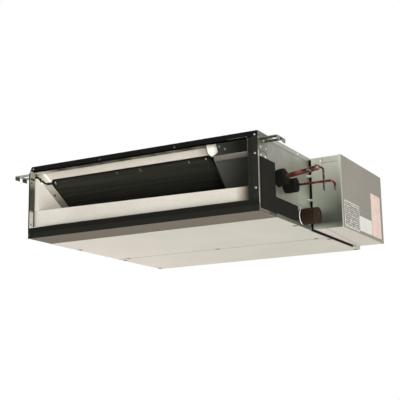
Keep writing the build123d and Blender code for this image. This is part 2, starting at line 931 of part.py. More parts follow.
def coil_face_depth(z, gap=0.0):
    """The Y at which the coil's front face reaches a height, less a gap square to the face."""
    return plane_at_block[0] + (plane_at_block[1] - z) / block_slope - gap / math.sin(lean)


with BuildPart() as left_insulation:
    with BuildSketch(plane_x(-side_inner)):
        with BuildLine():
            Polyline(
                (from_front(pan_front), side_block_foot_z),
                (coil_face_depth(side_block_foot_z), side_block_foot_z),
                (from_front(pan_front), side_block_top),
                close=True,
            )
        make_face()
    extrude(amount=side_block_thickness)
save(left_insulation, "left_insulation")

strip_top = body_height - sheet
strip_base = coil_top + (coil_front - strip_front) * block_slope
strip_left = -side_inner + side_block_thickness + foam_gap
with BuildPart() as top_insulation:
    with BuildSketch(plane_y(from_front(strip_rear))):
        with BuildLine():
            Polyline(
                (-side_inner, side_block_top + foam_gap),
                (strip_left, side_block_top + foam_gap),
                (strip_left, strip_end_base),
                (strip_end_right, strip_end_base),
                (strip_end_right + strip_end_slope, strip_base),
                (strip_right_base, strip_base),
                (strip_right_top, opening_top),
                (strip_right_top, strip_top),
                (-side_inner, strip_top),
                close=True,
            )
        make_face()
    extrude(amount=strip_rear - strip_front)
    # Room for the coil, whose top front edge reaches into the block
    with BuildSketch(coil_section(-side_inner)):
        with Locations((coil_face / 2 - foam_gap, coil_thickness)):
            Rectangle(coil_face, 2 * coil_thickness)
    extrude(amount=2 * side_inner, mode=Mode.SUBTRACT)
save(top_insulation, "top_insulation")

with BuildPart() as top_insulation_end:
    with BuildSketch(Plane.XY.offset(end_block_base)):
        with BuildLine():
            Polyline(
                (end_block_left + strip_right_base - strip_right_top, from_front(strip_front)),
                (end_block_corner, from_front(strip_front)),
                (end_block_turn, from_front(end_block_front)),
                (end_block_right, from_front(end_block_front)),
                (end_block_right, from_front(end_block_rear)),
                (end_block_left + strip_right_base - strip_right_top, from_front(end_block_rear)),
                close=True,
            )
        make_face()
    extrude(amount=opening_top - collar_sheet - end_block_base)
    with BuildSketch(plane_y(from_front(end_block_rear))):
        with BuildLine():
            Polyline(
                (end_block_left, opening_top - collar_sheet),
                (end_block_left + strip_right_base - strip_right_top, end_block_base),
                (end_block_corner, end_block_base),
                (end_block_corner, opening_top - collar_sheet),
                close=True,
            )
        make_face()
    extrude(amount=end_block_rear - strip_front)
save(top_insulation_end, "top_insulation_end")

# Sheet cover in front of the headers: an upright face, a ledge and a leaning face
ledge_y = (y_front + frame_sheet, from_front(cover_ledge_depth))
with BuildPart() as header_cover:
    with BuildSketch(plane_y(frame_back + cover_sheet)):
        with BuildLine():
            Polyline(
                (cover_ledge_left, cover_ledge),
                (cover_right, cover_ledge),
                (cover_right, cover_face_top),
                (cover_face_corner, cover_face_top),
                (cover_face_left, cover_face_waist),
                (cover_face_left, cover_ledge + 6.5),
                close=True,
            )
        make_face()
        with Locations(*[(x, z) for x, y, z in cover_screw_places]):
            Circle(screw_radius, mode=Mode.SUBTRACT)
    extrude(amount=cover_sheet)
    with BuildSketch(Plane.XY.offset(cover_ledge)):
        with BuildLine():
            Polyline(
                (cover_ledge_left, ledge_y[0]),
                (cover_right, ledge_y[0]),
                (cover_right, ledge_y[1]),
                (cover_left, ledge_y[1]),
                close=True,
            )
        make_face()
    extrude(amount=cover_sheet)
    lean_down = Plane(
        origin=(0, ledge_y[1], cover_ledge),
        x_dir=(1, 0, 0),
        z_dir=(0, math.sin(cover_angle), math.cos(cover_angle)),
    )
    with BuildSketch(lean_down):
        with Locations(((cover_left + cover_right) / 2, (cover_drop - cover_sheet) / 2)):
            Rectangle(cover_right - cover_left, cover_drop + cover_sheet)
    extrude(amount=cover_sheet)
    # End flange beside the frame's stile
    with BuildSketch(plane_x(cover_right - cover_sheet)):
        with BuildLine():
            Polyline(
                (ledge_y[0], cover_ledge),
                (ledge_y[1], cover_ledge),
                (ledge_y[1], cover_ledge + frame_return),
                (ledge_y[0] + frame_return, opening_top - collar_sheet),
                (ledge_y[0], opening_top - collar_sheet),
                close=True,
            )
        make_face()
    extrude(amount=cover_sheet)
save(header_cover, "header_cover")

# Foam on the right side panel, tall at the front with a low tail
with BuildPart() as side_foam:
    with BuildSketch(plane_x(side_outer)):
        with BuildLine():
            Polyline(
                (from_front(side_foam_front), side_foam_base),
                (strip_back, side_foam_base),
                (strip_back, side_foam_tail_base),
                (from_front(side_foam_tail_end), side_foam_tail_base),
                (from_front(side_foam_tail_end), side_foam_tail_top),
                (from_front(side_foam_depth), side_foam_tail_top),
                (from_front(side_foam_depth), side_foam_top),
                (from_front(side_foam_front), side_foam_top),
                close=True,
            )
        make_face()
    extrude(amount=side_foam_thickness)
save(side_foam, "side_foam")

# Drain socket through the pan and the side panel, its ring and its cap
drain_y = from_front(drain_depth)
ring_start = side_outer + 2.0
cap_start = ring_start + drain_ring_width + 0.6
cap_end = cap_start + drain_cap_length
with BuildPart() as drain_socket:
    round_bar((pan_half_width - pan_wall, cap_end - drain_cap_wall_end), drain_y, drain_height, drain_radius)
    round_bar((pan_half_width + 0.2, side_inner - 0.2), drain_y, drain_height, drain_radius + 5.0)
    round_bar(
        (pan_half_width - pan_wall, cap_end - drain_cap_wall_end),
        drain_y,
        drain_height,
        drain_bore,
        mode=Mode.SUBTRACT,
    )
save(drain_socket, "drain_socket")

with BuildPart() as drain_ring:
    round_bar((ring_start, ring_start + drain_ring_width), drain_y, drain_height, drain_ring_radius)
    round_bar(
        (ring_start, ring_start + drain_ring_width),
        drain_y,
        drain_height,
        drain_radius,
        mode=Mode.SUBTRACT,
    )
save(drain_ring, "drain_ring")

with BuildPart() as drain_cap:
    round_bar((cap_start, cap_end), drain_y, drain_height, drain_cap_radius)
    round_bar(
        (cap_start, cap_end - drain_cap_wall_end),
        drain_y,
        drain_height,
        drain_radius,
        mode=Mode.SUBTRACT,
    )
    fillet(faces().sort_by(Axis.X)[-1].edges(), 2.0)
    round_bar((cap_end - 1.5, cap_end), drain_y, drain_height, drain_cap_radius - 5.5, mode=Mode.SUBTRACT)
save(drain_cap, "drain_cap")

# Bulkhead between the coil and the fans, with the mouths of the fan casings
bulkhead_front = from_front(bulkhead_depth)
bulkhead_back = bulkhead_front + cover_sheet
fan_y = from_front(fan_depth)
scroll_first = wheel_radius + tongue_clearance + scroll_step
scroll_second = scroll_first + 2 * scroll_step
scroll_third = scroll_first + 4 * scroll_step
scroll_top = fan_height + scroll_step + scroll_third
scroll_inner_width = wheel_width + 2 * scroll_side_gap
tongue_z = fan_height + tongue_rise
mouth_base = tongue_z - 6.0
with BuildPart() as fan_bulkhead:
    with BuildSketch(plane_y(bulkhead_back)):
        with Locations((0, body_height / 2)):
            Rectangle(2 * side_inner, body_height - 2 * sheet)
        with Locations(
            *[(side * wheel_offset, (mouth_base + scroll_top) / 2) for side in (-1, 1)]
        ):
            Rectangle(scroll_inner_width, scroll_top - mouth_base, mode=Mode.SUBTRACT)
        for side in (-1, 1):
            with Locations((side * (side_inner - side_flange / 2), sheet + sheet / 2)):
                Rectangle(side_flange, sheet, mode=Mode.SUBTRACT)
    extrude(amount=cover_sheet)
save(fan_bulkhead, "fan_bulkhead")


def scroll_profile(grow):
    """The outline of a scroll and its mouth, grown outward by a wall's thickness."""
    centre_1 = (fan_y + scroll_step, fan_height - scroll_step)
    centre_2 = (fan_y + scroll_step, fan_height + scroll_step)
    centre_3 = (fan_y - scroll_step, fan_height + scroll_step)
    radius_1 = scroll_first + grow
    radius_2 = scroll_second + grow
    radius_3 = scroll_third + grow
    diagonal = math.sqrt(0.5)
    front = (centre_1[0] - radius_1, centre_1[1])
    bottom = (centre_1[0], centre_1[1] - radius_1)
    rear = (centre_2[0] + radius_2, centre_2[1])
    top = (centre_3[0], centre_3[1] + radius_3)
    tongue = (front[0], tongue_z - grow)
    with BuildLine() as outline:
        Line(tongue, front)
        ThreePointArc(
            front,
            (centre_1[0] - radius_1 * diagonal, centre_1[1] - radius_1 * diagonal),
            bottom,
        )
        ThreePointArc(
            bottom,
            (centre_2[0] + radius_2 * diagonal, centre_2[1] - radius_2 * diagonal),
            rear,
        )
        ThreePointArc(
            rear,
            (centre_3[0] + radius_3 * diagonal, centre_3[1] + radius_3 * diagonal),
            top,
        )
        Line(top, (bulkhead_back, top[1]))
        Line((bulkhead_back, top[1]), (bulkhead_back, mouth_base - grow))
        Line((bulkhead_back, mouth_base - grow), tongue)
    make_face(outline.edges())


def scroll_casing(side):
    """A hollow scroll with round inlets on both sides and a flange round its mouth."""
    middle = side * wheel_offset
    inner_low = middle - scroll_inner_width / 2
    outer_low = inner_low - scroll_wall
    with BuildSketch(plane_x(outer_low)) as shape:
        scroll_profile(scroll_wall)
    extrude(shape.sketch, amount=scroll_inner_width + 2 * scroll_wall)
    with BuildSketch(plane_y(bulkhead_back + cover_sheet)) as shape:
        with Locations((middle, (mouth_base + scroll_top) / 2)):
            Rectangle(
                scroll_inner_width + 2 * scroll_flange,
                scroll_top - mouth_base + 2 * scroll_wall,
            )
    extrude(shape.sketch, amount=cover_sheet)
    with BuildSketch(plane_x(inner_low)) as shape:
        scroll_profile(0)
    extrude(shape.sketch, amount=scroll_inner_width, mode=Mode.SUBTRACT)
    with BuildSketch(plane_x(outer_low)) as shape:
        with Locations((fan_y, fan_height)):
            Circle(scroll_inlet_radius)
    extrude(shape.sketch, amount=scroll_inner_width + 2 * scroll_wall, mode=Mode.SUBTRACT)


split_plane = Plane.XY.offset(fan_height)
for side, word in ((-1, "left"), (1, "right")):
    with BuildPart() as casing_upper:
        scroll_casing(side)
        split(bisect_by=split_plane, keep=Keep.TOP)
    save(casing_upper, f"fan_casing_{word}_upper")
    with BuildPart() as casing_lower:
        scroll_casing(side)
        split(bisect_by=split_plane, keep=Keep.BOTTOM)
    save(casing_lower, f"fan_casing_{word}_lower")

# Fan wheels with forward curved blades between two rings and a middle disc
blade_mid_radius = (wheel_radius + wheel_inner_radius) / 2
blade_half = (wheel_radius - wheel_inner_radius) / 2 - 0.5
blade_stations = [blade_half * step / 2 for step in (-2, -1, 0, 1, 2)]
blade_outline = [(u, u * 0.35 - blade_camber * (1 - (u / blade_half) ** 2)) for u in blade_stations]
blade_outline += [(u, v - blade_thickness) for u, v in reversed(blade_outline)]


def fan_wheel(side):
    """A wheel of curved blades, its rings, its disc and its hub on the shaft."""
    middle = side * wheel_offset
    low = middle - wheel_width / 2
    with BuildSketch(plane_x(low + wheel_ring / 2)) as shape:
        with Locations((fan_y, fan_height)):
            with PolarLocations(blade_mid_radius, blade_count):
                Polygon(*blade_outline, align=None)
    extrude(shape.sketch, amount=wheel_width - wheel_ring)
    for ring_low in (low, low + wheel_width - wheel_ring):
        with BuildSketch(plane_x(ring_low)) as shape:
            with Locations((fan_y, fan_height)):
                Circle(wheel_radius)
                Circle(wheel_inner_radius, mode=Mode.SUBTRACT)
        extrude(shape.sketch, amount=wheel_ring)
    round_bar((middle - wheel_disc / 2, middle + wheel_disc / 2), fan_y, fan_height, wheel_radius)
    round_bar((middle - hub_length / 2, middle + hub_length / 2), fan_y, fan_height, hub_radius)
    round_bar((low, low + wheel_width), fan_y, fan_height, shaft_radius, mode=Mode.SUBTRACT)


with BuildPart() as fan_wheel_left:
    fan_wheel(-1)
save(fan_wheel_left, "fan_wheel_left")

with BuildPart() as fan_wheel_right:
    fan_wheel(1)
save(fan_wheel_right, "fan_wheel_right")

shaft_end = wheel_offset + hub_length / 2 + 3.0
with BuildPart() as fan_shaft:
    round_bar((-shaft_end, shaft_end), fan_y, fan_height, shaft_radius)
save(fan_shaft, "fan_shaft")

# Fan motor between the wheels, held by rubber rings in a cradle
boss_end = motor_length / 2 + motor_boss_length
with BuildPart() as fan_motor:
    round_bar((-motor_length / 2, motor_length / 2), fan_y, fan_height, motor_radius)
    fillet(edges().filter_by(GeomType.CIRCLE), 5.0)
    round_bar((-boss_end, boss_end), fan_y, fan_height, motor_boss_radius)
    round_bar(
        (-boss_end, boss_end), fan_y, fan_height, shaft_radius + shaft_clearance, mode=Mode.SUBTRACT
    )
save(fan_motor, "fan_motor")

ring_radius = motor_boss_radius + 8.0
ring_low = motor_length / 2 + 0.8
with BuildPart() as motor_rings:
    for low in (-ring_low - ring_width, ring_low):
        round_bar((low, low + ring_width), fan_y, fan_height, ring_radius)
        round_bar((low, low + ring_width), fan_y, fan_height, motor_boss_radius, mode=Mode.SUBTRACT)
save(motor_rings, "motor_rings")

cradle_z = fan_height - 14.0
with BuildPart() as motor_mount:
    shelf_z = fan_height - motor_radius - 8.0
    shelf_back = fan_y + motor_radius
    block(
        (-mount_width / 2, mount_width / 2),
        (bulkhead_back, shelf_back),
        (shelf_z - mount_sheet, shelf_z),
    )
    block(
        (-mount_width / 2, mount_width / 2),
        (bulkhead_back, bulkhead_back + mount_sheet),
        (shelf_z, mouth_base - 20.0),
    )
    for low in (-ring_low - ring_width, ring_low):
        cradle_x = (low + 1.0, low + ring_width - 1.0)
        block(cradle_x, (fan_y - ring_radius - 8.0, fan_y + ring_radius + 8.0), (shelf_z, cradle_z))
        round_bar(cradle_x, fan_y, fan_height, ring_radius, mode=Mode.SUBTRACT)
save(motor_mount, "motor_mount")

with BuildPart() as motor_clamps:
    for low in (-ring_low - ring_width, ring_low):
        strap_x = (low + 1.0, low + ring_width - 1.0)
        with BuildSketch(plane_x(strap_x[0])):
            with Locations((fan_y, fan_height)):
                Circle(ring_radius + clamp_sheet)
            with Locations((fan_y, cradle_z + clamp_sheet / 2)):
                Rectangle(2 * ring_radius + 16.0, clamp_sheet)
            with Locations((fan_y, fan_height)):
                Circle(ring_radius, mode=Mode.SUBTRACT)
            with Locations((fan_y, cradle_z - ring_radius)):
                Rectangle(4 * ring_radius, 2 * ring_radius, mode=Mode.SUBTRACT)
        extrude(amount=strap_x[1] - strap_x[0])
save(motor_clamps, "motor_clamps")

# Rear inlet frame
inlet_holes = [
    (x, z)
    for x in (-side_outer + duct_hole_inset, side_outer - duct_hole_inset)
    for z in (duct_hole_bottom, body_height - duct_hole_bottom)
]
with BuildPart() as inlet_frame:
    with BuildSketch(plane_y(y_rear)):
        with Locations((0, (sheet + body_height - sheet) / 2)):
            Rectangle(2 * side_outer, body_height - 2 * sheet)
            Rectangle(
                2 * (side_outer - inlet_border_side),
                body_height - 2 * inlet_border_height,
                mode=Mode.SUBTRACT,
            )
        with Locations(*inlet_holes):
            Circle(duct_hole_radius, mode=Mode.SUBTRACT)
    extrude(amount=frame_sheet)
save(inlet_frame, "inlet_frame")

# Filter rails above and below the inlet
rail_y = (filter_y - rail_depth / 2, filter_y + rail_depth / 2)
groove_y = (
    filter_y - filter_thickness / 2 - filter_clearance,
    filter_y + filter_thickness / 2 + filter_clearance,
)
rail_x = (side_flange - side_inner, side_inner - side_flange)
with BuildPart() as filter_rails:
    lower_z = (sheet, sheet + rail_height)
    upper_z = (body_height - sheet - rail_height, body_height - sheet)
    block(rail_x, rail_y, lower_z)
    block(rail_x, groove_y, (filter_low, lower_z[1]), mode=Mode.SUBTRACT)
    block(rail_x, rail_y, upper_z)
    block(rail_x, groove_y, (upper_z[0], filter_high), mode=Mode.SUBTRACT)
save(filter_rails, "filter_rails")

# Air filter: a barred frame with the mesh set into it
filter_x = (-side_outer, rail_x[1] - 4.0)
frame_low = filter_low + filter_clearance
frame_high = filter_high - filter_clearance
filter_length = filter_x[1] - filter_x[0]
cell_width = (filter_length - filter_bar) / filter_cells - filter_bar
cell_height = (frame_high - frame_low - 3 * filter_bar) / 2
cells = [
    (
        filter_x[0] + filter_bar + cell_width / 2 + i * (cell_width + filter_bar),
        frame_low + filter_bar + cell_height / 2 + j * (cell_height + filter_bar),
    )
    for i in range(filter_cells)
    for j in range(2)
]
mesh_y = filter_y + filter_mesh_thickness / 2
with BuildPart() as filter_frame:
    with BuildSketch(plane_y(filter_y + filter_thickness / 2)):
        with Locations(((filter_x[0] + filter_x[1]) / 2, (frame_low + frame_high) / 2)):
            Rectangle(filter_length, frame_high - frame_low)
        with Locations(*cells):
            Rectangle(cell_width, cell_height, mode=Mode.SUBTRACT)
    extrude(amount=filter_thickness)
    tab_z = (frame_low + frame_high) / 2
    block(
        (filter_x[0] - filter_tab, filter_x[0]),
        (filter_y - filter_thickness / 2, filter_y + filter_thickness / 2),
        (tab_z - 20.0, tab_z + 20.0),
    )
save(filter_frame, "filter_frame")

with BuildPart() as filter_mesh:
    with BuildSketch(plane_y(mesh_y)):
        with Locations(*cells):
            Rectangle(cell_width, cell_height)
    extrude(amount=filter_mesh_thickness)
save(filter_mesh, "filter_mesh")


def suspension_bracket(side, y_middle):
    """An angle bracket with a slot for the suspension bolt and two small end tabs."""
    face = side * side_outer
    reach = side * (side_outer + bracket_sheet)
    end = side * (x_right + bracket_reach)
    y = (y_middle - bracket_width / 2, y_middle + bracket_width / 2)
    x = sorted((face, end))
    plate_z = (bracket_height - bracket_sheet, bracket_height)
    block(x, y, plate_z)
    block(sorted((face, reach)), y, (bracket_height - bracket_leg, plate_z[0]))
    for low, high in ((y[0], y_middle - bracket_notch / 2), (y_middle + bracket_notch / 2, y[1])):
        tab_x = sorted((end - side * bracket_sheet, end))
        block(tab_x, (low, high), (plate_z[0] - bracket_tab_drop, plate_z[0]))
    with BuildSketch(Plane.XY.offset(plate_z[0])) as shape:
        with Locations((side * bracket_slot_centre, y_middle)):
            SlotOverall(bracket_slot_length, bracket_slot_width)
    extrude(shape.sketch, amount=bracket_sheet, mode=Mode.SUBTRACT)
    with BuildSketch(plane_x(min(face, reach))) as shape:
        with Locations(
            *[
                (y, z)
                for x, y, z in bracket_screws
                if x * side > 0 and abs(y - y_middle) < bracket_width / 2
            ]
        ):
            Circle(screw_radius)
    extrude(shape.sketch, amount=bracket_sheet, mode=Mode.SUBTRACT)


for side, side_word in ((-1, "left"), (1, "right")):
    for y_middle, end_word in zip(bracket_centres, ("front", "rear")):
        with BuildPart() as bracket:
            suspension_bracket(side, y_middle)
        save(bracket, f"bracket_{end_word}_{side_word}")

# Electrical box, open toward the right, with its cover
cable_holes = [(box_left + box_width * 0.5, z) for z in (box_base + 34.0, box_base + 70.0)]
with BuildPart() as control_box:
    block((box_left, cover_x), box_y, box_z)
    block(
        (box_left + box_sheet, cover_x),
        (box_y[0] + box_sheet, box_y[1] - box_sheet),
        (box_z[0] + box_sheet, box_z[1] - box_sheet),
        mode=Mode.SUBTRACT,
    )
    with BuildSketch(plane_x(box_left)):
        with Locations(wiring_hole):
            RectangleRounded(*wiring_hole_size, 8.0)
    extrude(amount=box_sheet, mode=Mode.SUBTRACT)
    with BuildSketch(plane_y(box_y[1])):
        with Locations(*cable_holes):
            Circle(cable_hole_radius)
    extrude(amount=box_sheet, mode=Mode.SUBTRACT)
    # Edge folded over the top of the front wall, with a tab for its screw
    flap_y = (box_y[0] - box_flap_sheet, box_y[0])
    flap_end = cover_x - box_lip
    block((box_left, flap_end), flap_y, (box_top - box_flap_height, box_top))
    block(
        (tab_screw_x - box_tab_size / 2, tab_screw_x + box_tab_size / 2),
        (tab_face_y, flap_y[0]),
        (tab_screw_z - box_tab_size / 2, tab_screw_z + box_tab_size / 2),
    )
    block(
        (tab_screw_x - box_tab_size / 2, tab_screw_x + box_tab_size / 2),
        flap_y,
        (tab_screw_z - box_tab_size / 2, box_top - box_flap_height),
    )
    with BuildSketch(plane_y(box_y[0] + box_sheet)):
        with Locations((tab_screw_x, tab_screw_z)):
            Circle(screw_radius)
    extrude(amount=box_sheet + 2 * box_flap_sheet, mode=Mode.SUBTRACT)
    # Step along the left edge of the underside
    block(
        (box_left, box_left + box_step_width),
        box_y,
        (box_base, box_base + box_step_depth),
        mode=Mode.SUBTRACT,
    )
    # Hooks that lap the casing's side and the box's end walls
    for wall, turn in zip(box_y, (-1, 1)):
        for z in hook_heights:
            hook_z = (z - hook_height / 2, z + hook_height / 2)
            near = (min(wall, wall + turn * hook_sheet), max(wall, wall + turn * hook_sheet))
            far = (min(wall, wall + turn * (hook_reach + hook_sheet)),
                   max(wall, wall + turn * (hook_reach + hook_sheet)))
            block((side_outer, box_left + hook_lap), near, hook_z)
            block((side_outer, side_outer + hook_sheet), far, hook_z)
    with BuildSketch(plane_x(side_outer)):
        with Locations(*[(y, z) for x, y, z in hook_screws]):
            Circle(screw_radius)
    extrude(amount=hook_sheet, mode=Mode.SUBTRACT)
save(control_box, "control_box")

with BuildPart() as control_box_cover:
    outer_y = (box_y[0] - box_sheet, box_y[1] + box_sheet)
    outer_z = (box_z[0] - box_sheet / 2, box_z[1] + box_sheet)
    block((cover_x - box_lip, box_right), outer_y, outer_z)
    block(
        (cover_x - box_lip, cover_x),
        box_y,
        (box_z[0], box_z[1]),
        mode=Mode.SUBTRACT,
    )
save(control_box_cover, "control_box_cover")

# Foam seal in the gap between the box and the casing
seal_y = (box_y[0] + 3.0, box_y[1] - 3.0)
seal_z = (box_z[0] + 2.0, box_z[1] - 1.0)
with BuildPart() as box_seal:
    block((x_right, box_left), seal_y, seal_z)
    block(
        (x_right, box_left),
        (seal_y[0] + box_seal_width, seal_y[1] - box_seal_width),
        (seal_z[0] + box_seal_width, seal_z[1] - box_seal_width),
        mode=Mode.SUBTRACT,
    )
save(box_seal, "box_seal")

# Control board on its stand-offs, with what is mounted on it
board_x = box_left + box_sheet + board_standoff
board_y = (box_y[0] + 100.0, box_y[1] - 24.0)
board_z = (box_z[0] + 26.0, box_z[1] - 20.0)
board_corners = [
    (y, z)
    for y in (board_y[0] + 8.0, board_y[1] - 8.0)
    for z in (board_z[0] + 8.0, board_z[1] - 8.0)
]
board_face = board_x + board_thickness
with BuildPart() as control_board:
    block((board_x, board_face), board_y, board_z)
save(control_board, "control_board")

with BuildPart() as board_standoffs:
    with BuildSketch(plane_x(box_left + box_sheet)):
        with Locations(*board_corners):
            RegularPolygon(4.0, 6)
    extrude(amount=board_standoff)
save(board_standoffs, "board_standoffs")

with BuildPart() as board_components:
    board_length = board_y[1] - board_y[0]
    board_rise = board_z[1] - board_z[0]
    parts_on_board = (
        (0.16, 0.74, 34.0, 30.0, 28.0),
        (0.38, 0.76, 20.0, 16.0, 16.0),
        (0.50, 0.76, 20.0, 16.0, 16.0),
        (0.68, 0.70, 44.0, 26.0, 12.0),
        (0.24, 0.30, 56.0, 18.0, 10.0),
        (0.62, 0.28, 62.0, 10.0, 11.0),
        (0.88, 0.40, 10.0, 60.0, 11.0),
    )
    for along, up, length, rise, height in parts_on_board:
        y = board_y[0] + along * board_length
        z = board_z[0] + up * board_rise
        block(
            (board_face, board_face + height),
            (y - length / 2, y + length / 2),
            (z - rise / 2, z + rise / 2),
        )
    with BuildSketch(plane_x(board_face)):
        with Locations(
            *[
                (board_y[0] + along * board_length, board_z[0] + 0.5 * board_rise)
                for along in (0.12, 0.27)
            ]
        ):
            Circle(11.0)
    extrude(amount=30.0)
save(board_components, "board_components")

# Terminal blocks beside the board
terminal_y = box_y[0] + 50.0
with BuildPart() as terminal_blocks:
    for z in (box_z[0] + 60.0, box_z[0] + 132.0):
        block(
            (box_left + box_sheet, box_left + box_sheet + 16.0),
            (terminal_y - 14.0, terminal_y + 14.0),
            (z - 28.0, z + 28.0),
        )
        for step in range(4):
            low = z - 24.0 + step * 13.0
            block(
                (box_left + box_sheet + 8.0, box_left + box_sheet + 16.0),
                (terminal_y - 12.0, terminal_y + 12.0),
                (low, low + 9.0),
                mode=Mode.SUBTRACT,
            )
save(terminal_blocks, "terminal_blocks")

# Rubber bushes in the cable holes
with BuildPart() as cable_grommets:
    for x, z in cable_holes:
        for y_back, radius, length in (
            (box_y[1] + grommet_flange, cable_hole_radius + 3.0, grommet_flange),
            (box_y[1], cable_hole_radius, box_sheet),
            (box_y[1] - box_sheet, cable_hole_radius + 3.0, grommet_flange),
        ):
            with BuildSketch(plane_y(y_back)):
                with Locations((x, z)):
                    Circle(radius)
                    Circle(grommet_bore_radius, mode=Mode.SUBTRACT)
            extrude(amount=length)
save(cable_grommets, "cable_grommets")

# Screws, grouped by what they hold
with BuildPart() as bottom_panel_screws:
    for place in bottom_screws:
        flat_head_screw(place)
save(bottom_panel_screws, "bottom_panel_screws")

with BuildPart() as pan_head_screws:
    for place in front_screws:
        pan_head_screw(place, (0, -1, 0))
    for place in cover_screw_places + [(tab_screw_x, tab_face_y, tab_screw_z)]:
        pan_head_screw(place, (0, -1, 0))
    for place in bracket_screws + lip_screws + hook_screws:
        pan_head_screw(place, (math.copysign(1, place[0]), 0, 0))
save(pan_head_screws, "pan_head_screws")
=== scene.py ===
import math

import bmesh
import bpy
from mathutils import Matrix, Vector, noise


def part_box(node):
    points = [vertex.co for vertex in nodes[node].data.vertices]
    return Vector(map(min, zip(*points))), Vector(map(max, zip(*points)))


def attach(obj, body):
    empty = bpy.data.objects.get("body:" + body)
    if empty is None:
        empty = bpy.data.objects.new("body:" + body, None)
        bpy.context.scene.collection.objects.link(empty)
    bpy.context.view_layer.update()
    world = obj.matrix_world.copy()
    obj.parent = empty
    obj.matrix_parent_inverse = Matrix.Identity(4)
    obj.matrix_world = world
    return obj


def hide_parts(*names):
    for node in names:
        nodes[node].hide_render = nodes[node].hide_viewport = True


# A ducted air conditioner indoor unit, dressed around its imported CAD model. All lengths are in
# metres, in the CAD model's own frame: X to the electrical box, Y to the inlet, Z up.
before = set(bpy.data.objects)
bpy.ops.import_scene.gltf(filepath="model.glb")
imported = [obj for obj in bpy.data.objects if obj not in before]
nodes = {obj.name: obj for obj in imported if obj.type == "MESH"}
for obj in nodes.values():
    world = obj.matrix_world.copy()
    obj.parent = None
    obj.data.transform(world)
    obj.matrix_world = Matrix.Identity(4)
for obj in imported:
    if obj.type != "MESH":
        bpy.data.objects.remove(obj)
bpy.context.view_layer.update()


def srgb(colour):
    """A colour of three numbers from 0 to 255, as Blender's linear one."""
    parts = []
    for value in colour:
        share = value / 255
        parts.append(share / 12.92 if share <= 0.04045 else ((share + 0.055) / 1.055) ** 2.4)
    return (*parts, 1.0)


class Shading:
    """A node tree, with short calls for the nodes that this script needs."""

    def __init__(self, tree):
        self.tree = tree

    def add(self, kind, **settings):
        node = self.tree.nodes.new(kind)
        for key, value in settings.items():
            setattr(node, key, value)
        return node

    def feed(self, socket, value):
        """Links an output to a socket, or sets the socket. Three numbers are a colour up to 255."""
        if isinstance(value, bpy.types.NodeSocket):
            self.tree.links.new(value, socket)
        elif isinstance(value, tuple) and len(value) == 3:
            socket.default_value = srgb(value)
        else:
            socket.default_value = value

    def math(self, operation, first, second):
        node = self.add("ShaderNodeMath", operation=operation)
        self.feed(node.inputs[0], first)
        self.feed(node.inputs[1], second)
        return node.outputs[0]

    def both(self, first, second):
        return self.math("MULTIPLY", first, second)

    def either(self, first, second):
        return self.math("MAXIMUM", first, second)

    def choose(self, share, first, second):
        """The first shader where the share is 0, the second where it is 1."""
        node = self.add("ShaderNodeMixShader")
        for socket, value in zip(node.inputs, (share, first, second)):
            self.feed(socket, value)
        return node.outputs[0]


